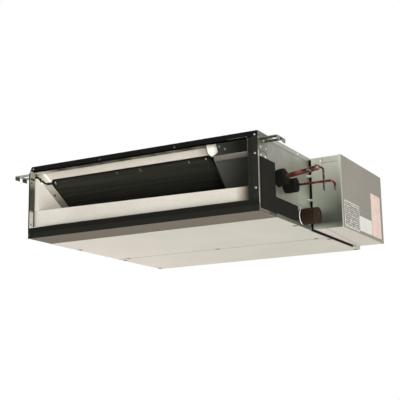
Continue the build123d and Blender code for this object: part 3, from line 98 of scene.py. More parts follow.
class Finish(Shading):
    """A material of one Principled shader, whose patterns lie in the object's own metres.

    A share is 1 where something is, 0 elsewhere and between the two at a soft edge.
    """

    def __init__(self, name, roughness=0.5, metallic=0.0, specular=0.5):
        self.material = bpy.data.materials.new(name)
        self.material.use_nodes = True
        super().__init__(self.material.node_tree)
        self.shader = self.tree.nodes["Principled BSDF"]
        self.shader.inputs["Roughness"].default_value = roughness
        self.shader.inputs["Metallic"].default_value = metallic
        self.shader.inputs["Specular IOR Level"].default_value = specular
        self.place = self.add("ShaderNodeTexCoord").outputs["Object"]

    def noise(self, scale, detail=3.0, stretch=(1, 1, 1), turn=(0, 0, 0)):
        mapping = self.add("ShaderNodeMapping")
        self.feed(mapping.inputs["Vector"], self.place)
        mapping.inputs["Scale"].default_value = stretch
        mapping.inputs["Rotation"].default_value = turn
        node = self.add("ShaderNodeTexNoise")
        self.feed(node.inputs["Vector"], mapping.outputs[0])
        node.inputs["Scale"].default_value = scale
        node.inputs["Detail"].default_value = detail
        return node.outputs["Fac"]

    def cells(self, scale, feature="F1", output="Distance"):
        node = self.add("ShaderNodeTexVoronoi", feature=feature)
        self.feed(node.inputs["Vector"], self.place)
        node.inputs["Scale"].default_value = scale
        return node.outputs[output]

    def coordinate(self, axis):
        apart = self.add("ShaderNodeSeparateXYZ")
        self.feed(apart.inputs[0], self.place)
        return apart.outputs["XYZ".index(axis)]

    def slanted(self, axis, slope, level):
        """X plus a slope times another coordinate's way past a level: constant on a slanted line."""
        way = self.math("SUBTRACT", self.coordinate(axis), level)
        return self.math("ADD", self.coordinate("X"), self.both(way, slope))

    def above(self, value, bound):
        return self.math("GREATER_THAN", value, bound)

    def below(self, value, bound):
        return self.math("LESS_THAN", value, bound)

    def between(self, value, low, high):
        return self.both(self.above(value, low), self.below(value, high))

    def spread(self, value, low, high):
        """Runs from 0 where a value is low to 1 where it is high."""
        node = self.add("ShaderNodeMapRange")
        self.feed(node.inputs["Value"], value)
        node.inputs["From Min"].default_value = low
        node.inputs["From Max"].default_value = high
        return node.outputs[0]

    def along(self, axis, low, high):
        return self.spread(self.coordinate(axis), low, high)

    def inside(self, **ranges):
        """The share of a box that is given as axis=(low, high)."""
        share = 1.0
        for axis, (low, high) in ranges.items():
            share = self.both(share, self.between(self.coordinate(axis), low, high))
        return share

    def spots(self, places, radius):
        """The share of some balls."""
        share = 0.0
        for place in places:
            apart = self.add("ShaderNodeVectorMath", operation="DISTANCE")
            self.feed(apart.inputs[0], self.place)
            apart.inputs[1].default_value = place
            share = self.either(share, self.below(apart.outputs["Value"], radius))
        return share

    def faces(self, side, least=0.9):
        """The share that faces a side, such as "-Z", with at least that much of its normal."""
        apart = self.add("ShaderNodeSeparateXYZ")
        self.feed(apart.inputs[0], self.add("ShaderNodeNewGeometry").outputs["Normal"])
        part = apart.outputs["XYZ".index(side[1])]
        return self.below(part, -least) if side[0] == "-" else self.above(part, least)

    def ramp(self, value, *stops):
        """Colours by value: pairs of a place from 0 to 1 and a colour."""
        node = self.add("ShaderNodeValToRGB")
        self.feed(node.inputs[0], value)
        marks = node.color_ramp.elements
        marks[0].position, marks[0].color = stops[0][0], srgb(stops[0][1])
        marks[1].position, marks[1].color = stops[-1][0], srgb(stops[-1][1])
        for place, colour in stops[1:-1]:
            marks.new(place).color = srgb(colour)
        return node.outputs[0]

    def cloudy(self, dark, light, scale, detail=3.0, low=0.3, high=0.7):
        return self.ramp(self.noise(scale, detail), (low, dark), (high, light))

    def mix(self, factor, first, second, blend="MIX"):
        node = self.add("ShaderNodeMix", data_type="RGBA", blend_type=blend)
        self.feed(node.inputs["Factor"], factor)
        self.feed(node.inputs[6], first)
        self.feed(node.inputs[7], second)
        return node.outputs[2]

    def colour(self, value):
        self.base = value
        self.feed(self.shader.inputs["Base Color"], value)

    def paint(self, share, colour, blend="MIX"):
        """Lays a colour over the base colour."""
        self.colour(self.mix(share, self.base, colour, blend))

    def shade(self, colour):
        self.paint(1.0, colour, "MULTIPLY")

    def rough(self, value, low, high):
        spread = self.add("ShaderNodeMapRange")
        self.feed(spread.inputs["Value"], value)
        spread.inputs["To Min"].default_value = low
        spread.inputs["To Max"].default_value = high
        self.feed(self.shader.inputs["Roughness"], spread.outputs[0])

    def bump(self, height, depth, strength):
        node = self.add("ShaderNodeBump")
        self.feed(node.inputs["Height"], height)
        node.inputs["Distance"].default_value = depth
        node.inputs["Strength"].default_value = strength
        self.feed(self.shader.inputs["Normal"], node.outputs[0])


# Kinds of material
WHITE = (255, 255, 255)
SPANGLE = 0.4
BEAD_SCALE = 330.0


def steel(name, dark=None, light=None, metallic=0.75, roughness=0.36):
    """Galvanised sheet. Where it is given two colours, it is cloudy zinc with faint crystals."""
    finish = Finish(name, roughness, metallic)
    if dark:
        finish.colour(finish.cloudy(dark, light, 6.0, detail=4.0))
        grey = finish.add("ShaderNodeRGBToBW")
        finish.feed(grey.inputs[0], finish.cells(90.0, output="Color"))
        crystals = finish.ramp(grey.outputs[0], (0.0, (228, 228, 226)), (1.0, WHITE))
        finish.paint(SPANGLE, crystals, "MULTIPLY")
    finish.rough(finish.noise(60.0), roughness - 0.08, roughness + 0.10)
    finish.bump(finish.noise(240.0, detail=2.0), depth=0.00004, strength=0.35)
    return finish


def rubbery(name, dark, light, roughness=0.85, grain=900.0, depth=0.0002):
    """Foam, rubber or felt with a fine grain."""
    finish = Finish(name, roughness, specular=0.06)
    finish.colour(finish.cloudy(dark, light, grain, detail=4.0, low=0.35, high=0.65))
    finish.bump(finish.noise(grain * 0.6), depth, strength=0.6)
    return finish


def plastic(name, dark, light, roughness=0.45):
    finish = Finish(name, roughness, specular=0.45)
    finish.colour(finish.cloudy(dark, light, 30.0, detail=4.0))
    finish.bump(finish.noise(1400.0, detail=2.0), depth=0.00003, strength=0.5)
    return finish


def beads(name, dark, light):
    """Expanded foam, pressed from beads a few millimetres wide."""
    finish = Finish(name, roughness=0.72, specular=0.3)
    finish.colour(finish.cloudy(dark, light, 9.0, low=0.25, high=0.75))
    edges = finish.ramp(finish.cells(BEAD_SCALE), (0.0, WHITE), (0.75, (236, 234, 230)))
    finish.paint(0.8, edges, "MULTIPLY")
    finish.bump(finish.cells(BEAD_SCALE, "SMOOTH_F1"), depth=0.0004, strength=0.5)
    return finish


def islands(name):
    """The separate solids of a node, each as the places of its points."""
    mesh = nodes[name].data
    numbers = {}
    spots = [
        numbers.setdefault(tuple(round(value, 6) for value in vertex.co), len(numbers))
        for vertex in mesh.vertices
    ]
    leader = list(range(len(numbers)))

    def lead(spot):
        while leader[spot] != spot:
            spot = leader[spot]
        return spot

    for edge in mesh.edges:
        first, second = (lead(spots[vertex]) for vertex in edge.vertices)
        leader[max(first, second)] = min(first, second)
    groups = {}
    for place, spot in numbers.items():
        groups.setdefault(lead(spot), []).append(Vector(place))
    return list(groups.values())


# Sheets of the casing
CASING_LEFT, CASING_RIGHT = (corner.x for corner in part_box("top_panel"))
CASING_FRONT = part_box("outlet_frame")[0].y
LIP_SHADE = (-0.262, -0.290)


def top_finish():
    """The top panel, whose lip along the right side has painted shade towards the front."""
    finish = steel("steel_top", (150, 150, 140), (172, 171, 162))
    # painted shade on the lip towards the front
    finish.paint(finish.both(finish.faces("+X"), finish.along("Y", *LIP_SHADE)), (92, 94, 82))
    return finish


UPRIGHT_SEAM = {"Y": (-0.1240, -0.1230), "Z": (0.0570, 0.0840)}
LEVEL_SEAM = {"Y": (-0.1240, -0.0360), "Z": (0.0575, 0.0585)}
BOX_GAP_SHADE = {"Y": (-0.0275, 0.2900)}
SIDE_FOOT = {"Y": (-0.2900, -0.0325), "Z": (-0.0010, 0.0125)}
SHEEN_Y = (-0.165, -0.095)
SHEEN_Z = (0.125, 0.085)
SIDE_RIM_HIGHLIGHT = {"Y": (-0.3600, -0.3450), "Z": (0.0200, 0.1600)}
DENT_SHADES = [
    (CASING_RIGHT, y, z)
    for y, z in ((-0.3330, 0.1588), (-0.3015, 0.1606), (-0.3340, 0.1450), (-0.3020, 0.1452))
]
CLIP_GLINTS = [(CASING_RIGHT, y, z) for y, z in ((-0.3319, 0.1416), (-0.3070, 0.1424), (-0.3035, 0.1408))]


def side_finish():
    """The side panels, painted darker than the underside as shade. The right one has seams, a painted
    sheen, painted shade in small dents and in the gap to the box, painted glints on clips and a painted
    highlight along its front rim.
    """
    finish = steel("steel_side", metallic=0.45)
    # zinc painted darker than the underside's, as shade on the sides, and darker still towards the front
    finish.colour(
        finish.ramp(
            finish.along("Y", CASING_FRONT, 0.0),
            (0.0, (130, 128, 116)), (0.55, (144, 142, 131)), (1.0, (150, 153, 143)),
        )
    )
    finish.shade(finish.cloudy((224, 224, 222), WHITE, 16.0))
    # painted sheen: a highlight on the side panel
    sheen = finish.both(finish.along("Z", *SHEEN_Z), finish.along("Y", *SHEEN_Y))
    finish.paint(sheen, (172, 176, 161))
    right = finish.along("X", 0.0, 0.1)
    seams = finish.either(finish.inside(**UPRIGHT_SEAM), finish.inside(**LEVEL_SEAM))
    finish.paint(finish.both(seams, right), (62, 62, 55))
    # painted shade in the gap to the box
    finish.paint(finish.both(right, finish.inside(**BOX_GAP_SHADE)), (16, 16, 14))
    finish.paint(finish.both(right, finish.inside(**SIDE_FOOT)), (86, 90, 78))
    # dark spots of painted shade in small dents
    finish.paint(finish.spots(DENT_SHADES, radius=0.0062), (84, 84, 75))
    # bright spots of painted glints on small clips
    finish.paint(finish.spots(CLIP_GLINTS, radius=0.0034), (226, 224, 212))
    # painted highlight along the side panel's front rim
    finish.paint(finish.both(right, finish.inside(**SIDE_RIM_HIGHLIGHT)), (204, 202, 190))
    return finish


PANEL_SEAM = (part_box("front_bottom_panel")[1].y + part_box("rear_bottom_panel")[0].y) / 2
SEAM_HALF = 0.0016
DIMPLE_SHADE_RADIUS = 0.0074
UNDER_GAP_SHADE = {"X": (0.3462, 0.3600), "Y": (-0.0300, 0.2900)}
FLANGE_END = -0.0325


def under_finish():
    """The underside, pale as a painted reflection of the floor, with its seam, painted shade in a dimple
    round each screw and in the gap to the box, and painted shade on its edges that face the front and
    the right.
    """
    finish = steel("steel_underside", metallic=0.25, roughness=0.5)
    # pale zinc, lightened as a painted reflection of the floor
    finish.colour(
        finish.ramp(
            finish.along("X", CASING_LEFT, CASING_RIGHT),
            (0.0, (223, 215, 205)), (0.5, (206, 202, 190)), (1.0, (198, 194, 182)),
        )
    )
    finish.shade(finish.cloudy((246, 246, 246), WHITE, 7.0))
    # the seam's dark line, widened to take in the shade of its overlapping lip
    finish.paint(finish.inside(Y=(PANEL_SEAM - SEAM_HALF, PANEL_SEAM + SEAM_HALF)), (66, 64, 57))
    middles = [sum(points, Vector()) / len(points) for points in islands("bottom_panel_screws")]
    # painted shade in the dimple round each screw
    dimple_shades = finish.spots([(middle.x, middle.y, 0.0) for middle in middles], DIMPLE_SHADE_RADIUS)
    finish.paint(dimple_shades, (30, 29, 25))
    # painted shade in the gap to the box
    finish.paint(finish.inside(**UNDER_GAP_SHADE), (14, 14, 12))
    # painted shade on the edges that face the right near the front, and on those that face the front
    flange = finish.both(finish.faces("+X"), finish.below(finish.coordinate("Y"), FLANGE_END))
    finish.paint(flange, (94, 99, 86))
    finish.paint(finish.faces("-Y"), (128, 124, 114))
    return finish


BRACKET_SPAN = (-0.37, 0.33)
BRACKET_SCREW_GLINT = (0.3515, -0.3185, 0.1810)


def bracket_finish():
    """The brackets, whose undersides are painted pale at the left as painted light and dark at the right
    as painted shade; the front right one has a painted glint on a screw there.
    """
    finish = steel("steel_bracket", (104, 106, 95), (134, 134, 122))
    span = finish.along("X", *BRACKET_SPAN)
    # painted light and shade on the undersides, from pale at the left to dark at the right
    below = finish.ramp(span, (0.0, (196, 196, 184)), (1.0, (82, 84, 73)))
    finish.paint(finish.faces("-Z"), below)
    # painted glint on a screw
    finish.paint(finish.spots([BRACKET_SCREW_GLINT], radius=0.0042), (240, 240, 230))
    return finish


SHEET_SPAN = (0.060, 0.158)
SHEET_HOLE = (-0.3261, -0.2620, 0.1345)


def tube_sheet_finish():
    """The left tube sheet's flange, with painted shade at its foot and paler towards its top, with one
    small hole.
    """
    finish = steel("steel_tube_sheet", metallic=0.3)
    # painted shade at the flange's foot, paler towards its top
    finish.colour(
        finish.ramp(
            finish.along("Z", *SHEET_SPAN),
            (0.0, (76, 74, 65)), (0.6, (142, 139, 126)), (1.0, (222, 221, 211)),
        )
    )
    finish.shade(finish.cloudy((236, 236, 234), WHITE, 30.0))
    finish.paint(finish.spots([SHEET_HOLE], radius=0.0046), (66, 62, 54))
    return finish


def screw_finish():
    """Screw heads, painted bright on the right side panel as glints, and darker towards the left."""
    finish = steel("steel_screw", roughness=0.3)
    # painted glints on the screws at the right side
    finish.colour(
        finish.ramp(
            finish.along("X", CASING_LEFT, CASING_RIGHT),
            (0.0, (64, 64, 59)), (0.7, (92, 92, 86)),
            (0.984, (118, 118, 110)), (0.999, (232, 232, 222)),
        )
    )
    finish.shade(finish.cloudy((206, 206, 204), WHITE, 700.0))
    return finish


# Electrical box
BOX_UNDERSIDE_REFLECTION = ((195, 189, 178), (202, 196, 185))
FLAP_LINE = {"X": (0.3905, 0.4360), "Z": (0.1798, 0.1811)}
TAB_LINE = {"X": (0.3905, 0.3918), "Z": (0.1760, 0.1955)}
FOLD = (0.3921, 0.3940)
BOX_SHADOW_END = 0.3618
COVER_RIM_HIGHLIGHT = 0.4408
FRONT_HEIGHT = (0.0, 0.2)
FRONT_LEFT, FRONT_RIGHT = 0.362, 0.430


def front_light_and_shade(finish):
    """The box's front, in bands of painted reflection and shade: bright at the top and the foot, dark
    above the foot, paler at the left.
    """
    left = finish.ramp(
        finish.along("Z", *FRONT_HEIGHT),
        (0.02, (160, 168, 150)), (0.09, (64, 66, 56)), (0.19, (96, 98, 86)), (0.29, (148, 153, 138)),
        (0.60, (158, 162, 148)), (0.90, (186, 188, 175)),
    )
    right = finish.ramp(
        finish.along("Z", *FRONT_HEIGHT),
        (0.02, (96, 99, 86)), (0.09, (60, 62, 52)), (0.28, (80, 83, 71)), (0.45, (118, 123, 110)),
        (0.65, (148, 152, 139)), (0.88, (186, 187, 173)),
    )
    return finish.mix(finish.along("X", FRONT_LEFT, FRONT_RIGHT), left, right)


def box_finish():
    """The box, with the lines of a flap and a tab on its front and a slanted fold below, its front in
    painted reflection and shade, its underside pale as a painted reflection of the floor, and painted
    shadow in the gap to the casing.
    """
    finish = steel("steel_box", metallic=0.25, roughness=0.42)
    clouds = finish.ramp(
        finish.noise(9.0, detail=2.0, stretch=(1, 1, 0.4)), (0.30, (230, 230, 230)), (0.65, WHITE)
    )
    front = finish.mix(1.0, front_light_and_shade(finish), clouds, "MULTIPLY")
    lines = finish.either(finish.inside(**FLAP_LINE), finish.inside(**TAB_LINE))
    front = finish.mix(lines, front, (112, 114, 102))
    fold = finish.between(finish.slanted("Y", slope=0.078, level=-0.006), *FOLD)
    # pale underside as a painted reflection of the floor
    under = finish.mix(fold, finish.cloudy(*BOX_UNDERSIDE_REFLECTION, 5.0), (112, 108, 98))
    # painted shadow in the gap to the casing
    under = finish.mix(finish.below(finish.coordinate("X"), BOX_SHADOW_END), under, (14, 14, 12))
    finish.colour(finish.cloudy((136, 136, 126), (154, 154, 144), 6.0))
    finish.paint(finish.faces("-Y"), front)
    finish.paint(finish.faces("-Z"), under)
    return finish


def box_cover_finish():
    """The box's cover, with a painted highlight on its rim, over a front of painted reflection and shade
    and an underside pale as a painted reflection of the floor.
    """
    finish = steel("steel_box_cover", metallic=0.4, roughness=0.5)
    rim = finish.above(finish.coordinate("X"), COVER_RIM_HIGHLIGHT)
    finish.colour(finish.cloudy((132, 127, 116), (140, 135, 124), 5.0))
    # painted highlight on the cover's rim
    finish.paint(finish.faces("-Y"), finish.mix(rim, front_light_and_shade(finish), (182, 184, 170)))
    finish.paint(finish.faces("-Z"), finish.cloudy(*BOX_UNDERSIDE_REFLECTION, 5.0))
    return finish


# Outlet
INNER_EDGES = (
    {"X": (0.3180, 0.3208), "Z": (0.1460, 0.1870)},
    {"X": (0.2680, 0.3200), "Z": (0.1868, 0.1878)},
)
FRAME_FOOT = (0.0140, 0.0160)
FRAME_UPPER = (0.100, 0.185)
FRAME_TOP_SHADE = (0.150, 0.160)
UPRIGHT_START = (0.316, 0.320)
UPRIGHT_TOP = (0.187, 0.184)
UPRIGHT_FOOT = (0.028, 0.031)


def frame_finish():
    """The outlet's frame: black paint with pale lines along two inner edges, painted shade on the faces
    that look down in its upper part, and its right upright greener.
    """
    finish = Finish("paint_frame", roughness=0.5, specular=0.06)
    finish.colour(finish.mix(finish.along("Z", *FRAME_FOOT), (30, 30, 25), (20, 20, 17)))
    finish.paint(finish.along("Z", *FRAME_UPPER), finish.cloudy((9, 9, 8), (15, 15, 13), 14.0))
    upright = finish.both(finish.along("X", *UPRIGHT_START), finish.along("Z", *UPRIGHT_TOP))
    upright = finish.both(upright, finish.along("Z", *UPRIGHT_FOOT))
    finish.paint(upright, finish.cloudy((28, 29, 24), (36, 37, 31), 30.0))
    finish.paint(finish.either(*(finish.inside(**edge) for edge in INNER_EDGES)), (112, 111, 99))
    # painted shade on the faces that look down in the frame's upper part
    finish.paint(finish.both(finish.faces("-Z"), finish.along("Z", *FRAME_TOP_SHADE)), (5, 5, 4))
    finish.rough(finish.noise(80.0), 0.42, 0.60)
    finish.bump(finish.noise(900.0, detail=2.0), depth=0.00005, strength=0.5)
    return finish


COLLAR_GAP_SHADE = {"Y": (-0.3350, -0.3290), "Z": (0.0200, 0.0800)}
COLLAR_TAPE = {"Y": (-0.3480, -0.3290), "Z": (0.1645, 0.1700)}
COLLAR_HOLES = [(-0.3440, -0.3440, z) for z in (0.1563, 0.0400)]
COLLAR_WALL_END = -0.3430
WALL_SPAN = (0.030, 0.190)
LEFT_GLOW = (-0.345, -0.262)
LEFT_FADE = (-0.225, -0.262)


def collar_finish():
    """The outlet's lining: a streaked ceiling with painted light at its left end, and a left wall in
    bands of painted reflection and shade, with a line of painted shade in its gap to the pan.
    """
    finish = Finish("steel_collar", roughness=0.5, metallic=0.1, specular=0.04)
    streaks = finish.noise(26.0, detail=2.0, stretch=(1, 0.25, 1), turn=(0, 0, 0.9))
    finish.colour(finish.ramp(streaks, (0.36, (48, 47, 41)), (0.64, (124, 122, 109))))
    # painted light at the ceiling's left end
    left_end = finish.ramp(
        finish.along("X", *LEFT_GLOW),
        (0.0, (250, 245, 232)), (0.5, (190, 186, 174)), (1.0, (52, 52, 45)),
    )
    finish.paint(finish.along("X", *LEFT_FADE), left_end)
    # bands of painted reflection and shade on the left wall
    wall = finish.ramp(
        finish.along("Z", *WALL_SPAN),
        (0.26, (196, 192, 178)), (0.31, (74, 76, 66)), (0.66, (70, 71, 62)), (0.80, (150, 148, 134)),
        (0.94, (164, 161, 147)),
    )
    # a line of painted shade in the gap to the pan, and a piece of tape
    marks = finish.either(finish.inside(**COLLAR_GAP_SHADE), finish.inside(**COLLAR_TAPE))
    wall = finish.mix(marks, wall, (44, 42, 36))
    wall = finish.mix(finish.spots(COLLAR_HOLES, radius=0.0026), wall, (52, 50, 44))
    finish.paint(finish.below(finish.coordinate("X"), COLLAR_WALL_END), wall)
    finish.rough(finish.noise(60.0), 0.32, 0.50)
    return finish


COVER_SPAN = (0.21, 0.30)
COVER_SHADE = (0.228, 0.298)


def header_cover_finish():
    """The dark sheet at the opening's right end, with painted shade darkening it towards the right, and
    a ledge painted paler as painted light from below.
    """
    finish = Finish("steel_header_cover", roughness=0.45, metallic=0.2, specular=0.1)
    # painted shade, darker towards the right
    finish.colour(finish.ramp(finish.along("X", *COVER_SPAN), (0.0, (84, 86, 79)), (1.0, (46, 47, 42))))
    upright = finish.ramp(finish.along("X", *COVER_SHADE), (0.0, (50, 52, 47)), (1.0, (7, 7, 6)))
    finish.paint(finish.faces("-Y"), upright)
    # the ledge, painted paler as painted light from below
    finish.paint(finish.faces("-Z"), finish.cloudy((176, 170, 158), (190, 184, 172), 12.0))
    finish.rough(finish.noise(40.0), 0.36, 0.52)
    return finish


def lip_finish():
    finish = Finish("paint_lip", roughness=0.6, specular=0.0)
    finish.colour(finish.cloudy((9, 9, 8), (17, 17, 15), 60.0))
    finish.bump(finish.noise(900.0), depth=0.00005, strength=0.5)
    return finish


# Insulation
PAN_LEFT_END = (-0.33, -0.21)
PAN_RIGHT_SHADE = (0.276, 0.312)


def pan_finish():
    """The drain pan's foam, with painted shade towards its right end."""
    finish = beads("foam_pan", (220, 215, 205), (230, 226, 217))
    left_end = finish.along("X", *PAN_LEFT_END)
    finish.shade(finish.ramp(left_end, (0.0, WHITE), (1.0, (243, 243, 243))))
    # painted shade towards the right end
    right_end = finish.along("X", *PAN_RIGHT_SHADE)
    finish.shade(finish.ramp(right_end, (0.0, WHITE), (0.5, (206, 196, 186)), (1.0, (58, 55, 50))))
    return finish


STRIP_FOOT = {"X": (-0.3450, -0.2990), "Z": (0.1500, 0.1590)}
STREAK_LEFT = (-0.3060, -0.3010)
STREAK_RIGHT = (-0.2930, -0.2960)
BEVEL_TOP = 0.1685
BEVEL_BLACK = -0.3245
BEVEL_WHITE = -0.3335


def strip_finish():
    """The long white strip, with a painted highlight as a bright streak, and black along its underside,
    its foot and the bevel at its left end as painted shade of its joints.
    """
    finish = beads("foam_strip_white", (212, 206, 194), (222, 216, 204))
    # painted highlight as a bright streak
    streak = finish.slanted("Z", slope=0.88, level=0.157)
    lit = finish.both(finish.spread(streak, *STREAK_LEFT), finish.spread(streak, *STREAK_RIGHT))
    finish.paint(lit, (252, 250, 243))
    bevel = finish.slanted("Z", slope=1.15, level=0.165)
    low = finish.below(finish.coordinate("Z"), BEVEL_TOP)
    # black along the strip's underside, foot and bevel: painted shade of its joints
    tape_and_shade = finish.either(finish.faces("-Z", least=0.3), finish.inside(**STRIP_FOOT))
    tape_and_shade = finish.either(tape_and_shade, finish.both(low, finish.below(bevel, BEVEL_BLACK)))
    finish.paint(tape_and_shade, (18, 17, 14))
    finish.paint(finish.both(low, finish.below(bevel, BEVEL_WHITE)), (242, 236, 226))
    return finish


END_SPAN = (0.150, 0.190)
END_LEFT = 0.2029
END_FOOT = 0.2069


def end_finish():
    """The end block's foam, painted paler than the other foam as painted light, with painted shade
    towards its top and in facet lines, and a dark joint along its left and lower edges.
    """
    # foam painted near white, as painted light
    finish = beads("foam_end", (250, 249, 243), (254, 254, 250))
    height = finish.along("Z", *END_SPAN)
    # painted shade towards the top
    finish.shade(finish.ramp(height, (0.30, WHITE), (0.62, (250, 248, 240)), (0.90, (150, 148, 138))))
    facets = finish.noise(34.0, detail=2.0, stretch=(1, 0.5, 0.35))
    # painted shade in facet lines
    finish.shade(finish.ramp(facets, (0.38, (206, 204, 196)), (0.52, WHITE)))
    joint = finish.either(
        finish.below(finish.slanted("Z", slope=0.183, level=0.1858), END_LEFT),
        finish.below(finish.slanted("Z", slope=0.98, level=0.1640), END_FOOT),
    )
    finish.paint(joint, (92, 86, 76))
    return finish


def left_finish():
    # the left insulation's foam, painted near white as painted light
    finish = beads("foam_left", (255, 248, 235), (255, 251, 241))
    # painted shade on its front faces
    finish.paint(finish.faces("-Y"), (240, 233, 223))
    return finish


# Coil and pipes
FIN_SPAN = (0.060, 0.155)
FIN_LEFT_END = (-0.3035, -0.3055)


def fin_finish():
    """The fins' edges, darker towards the coil's foot and black at its left end."""
    finish = Finish("fins", roughness=0.5, metallic=0.1, specular=0.1)
    height = finish.along("Z", *FIN_SPAN)
    finish.colour(finish.ramp(height, (0.0, (40, 40, 37)), (0.5, (66, 66, 59)), (1.0, (88, 89, 78))))
    bands = finish.noise(120.0, detail=2.0, stretch=(0.02, 1, 1))
    finish.shade(finish.ramp(bands, (0.35, (214, 214, 212)), (0.65, WHITE)))
    finish.paint(finish.along("X", *FIN_LEFT_END), (16, 16, 13))
    finish.rough(finish.noise(200.0), 0.4, 0.6)
    return finish


def fin_glint_finish():
    finish = Finish("fin_bright", roughness=0.35, metallic=0.6)
    finish.colour(finish.cloudy((214, 216, 198), (250, 251, 238), 300.0))
    return finish


def copper(name, heated, tip, dull=(1.0, 1.1)):
    """Handled copper tube, browned beyond one X, dark below its sealed tip and dull in a span of X."""
    finish = Finish(name, roughness=0.34, metallic=0.7, specular=0.3)
    finish.colour(
        finish.ramp(
            finish.noise(64.0, detail=5.0, stretch=(0.45, 1, 1)),
            (0.41, (34, 23, 20)), (0.50, (76, 41, 31)), (0.59, (122, 66, 46)), (0.73, (196, 126, 98)),
        )
    )
    dimmed = finish.both(finish.inside(X=dull), finish.below(finish.noise(45.0), 0.56))
    finish.paint(dimmed, (150, 138, 130), "MULTIPLY")
    brown = finish.ramp(
        finish.noise(150.0, detail=4.0),
        (0.40, (34, 25, 22)), (0.58, (78, 48, 38)), (0.68, (150, 120, 104)),
    )
    finish.paint(finish.along("X", heated - 0.006, heated + 0.004), brown)
    finish.paint(finish.below(finish.coordinate("Z"), tip), (48, 38, 36))
    finish.rough(finish.noise(70.0, detail=4.0), 0.28, 0.55)
    return finish


def braze_finish():
    finish = Finish("copper_brazed", roughness=0.45, metallic=0.6, specular=0.3)
    finish.colour(
        finish.ramp(
            finish.noise(230.0, detail=4.0),
            (0.34, (46, 34, 30)), (0.48, (92, 62, 52)), (0.58, (128, 98, 86)), (0.68, (196, 184, 174)),
        )
    )
    finish.bump(finish.noise(500.0), depth=0.0003, strength=0.6)
    return finish


def brass_finish():
    finish = Finish("brass", roughness=0.3, metallic=0.9)
    finish.colour(finish.cloudy((150, 126, 70), (190, 165, 100), 50.0))
    finish.rough(finish.noise(120.0), 0.22, 0.42)
    return finish


def ring_finish():
    """The drain's white ring, whose first part is painted dark as painted shadow."""
    finish = plastic("plastic_ring", (240, 240, 236), (248, 248, 245))
    start, end = (corner.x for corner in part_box("drain_ring"))
    # painted shadow on the ring's first part
    finish.paint(finish.inside(X=(start - 0.001, start + 0.55 * (end - start))), (24, 22, 18))
    return finish


def cap_finish():
    """The drain's rubber cap, with a groove before its end painted as a dark band of shade, and painted
    shadow at its start.
    """
    finish = rubbery("rubber_cap", (32, 23, 16), (46, 35, 26), roughness=0.7, grain=260.0, depth=0.0003)
    start, end = (corner.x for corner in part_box("drain_cap"))
    # painted shade in the groove
    finish.paint(finish.inside(X=(end - 0.0100, end - 0.0086)), (20, 15, 10))
    finish.paint(finish.inside(X=(end - 0.0086, end - 0.0012)), (52, 41, 31))
    # painted shadow at the cap's start
    finish.paint(finish.inside(X=(start - 0.001, start + 0.0034)), (17, 13, 10))
    return finish


def net_finish():
    finish = Finish("filter_net", roughness=0.7)
    weave = finish.cells(700.0)
    finish.colour(finish.ramp(weave, (0.1, (24, 26, 28)), (0.6, (52, 55, 58))))
    finish.bump(weave, depth=0.0003, strength=0.8)
    return finish


# Plates on the box
ROW_HEIGHT = 0.0058
PALE_INK = (206, 203, 194)


def film(name, dark, light, ink, strength, field=None):
    """A film with broken ruled lines. Given a field of Y and Z, it has pale dashes and a pale border."""
    finish = Finish(name, roughness=0.45, specular=0.3)
    finish.colour(finish.cloudy(dark, light, 40.0, detail=4.0))
    rows = finish.math("FRACT", finish.both(finish.coordinate("Z"), 1 / ROW_HEIGHT), 0.0)
    broken = finish.above(finish.noise(150.0, stretch=(1, 0.6, 1.6)), 0.5)
    finish.paint(finish.both(finish.both(finish.below(rows, 0.42), broken), strength), ink)
    if field:
        dashes = finish.above(finish.noise(110.0, stretch=(1, 0.8, 1.8)), 0.52)
        border = finish.math("SUBTRACT", 1.0, finish.inside(**field))
        finish.paint(finish.either(finish.both(finish.above(rows, 0.55), dashes), border), PALE_INK)
    finish.rough(finish.noise(90.0), 0.38, 0.52)
    return finish


# Finishes that the pieces below share with CAD nodes
screw_steel = screw_finish()
# black foam painted brownish grey, as its painted reflection of the floor
foam_strip = rubbery("foam_strip", (101, 95, 86), (126, 118, 107))
foam_side = rubbery("foam_side", (27, 26, 22), (37, 36, 31))
foam_sleeve = rubbery("foam_sleeve", (14, 14, 12), (24, 23, 20), depth=0.0004)
foam_seal = rubbery("foam_seal", (10, 10, 10), (18, 18, 17))
end_foam = end_finish()
fin_metal = fin_finish()

# The pipes are dark up to these heights, at their sealed ends
gas_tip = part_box("gas_pipe")[0].z + 0.007
liquid_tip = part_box("liquid_pipe")[0].z + 0.004

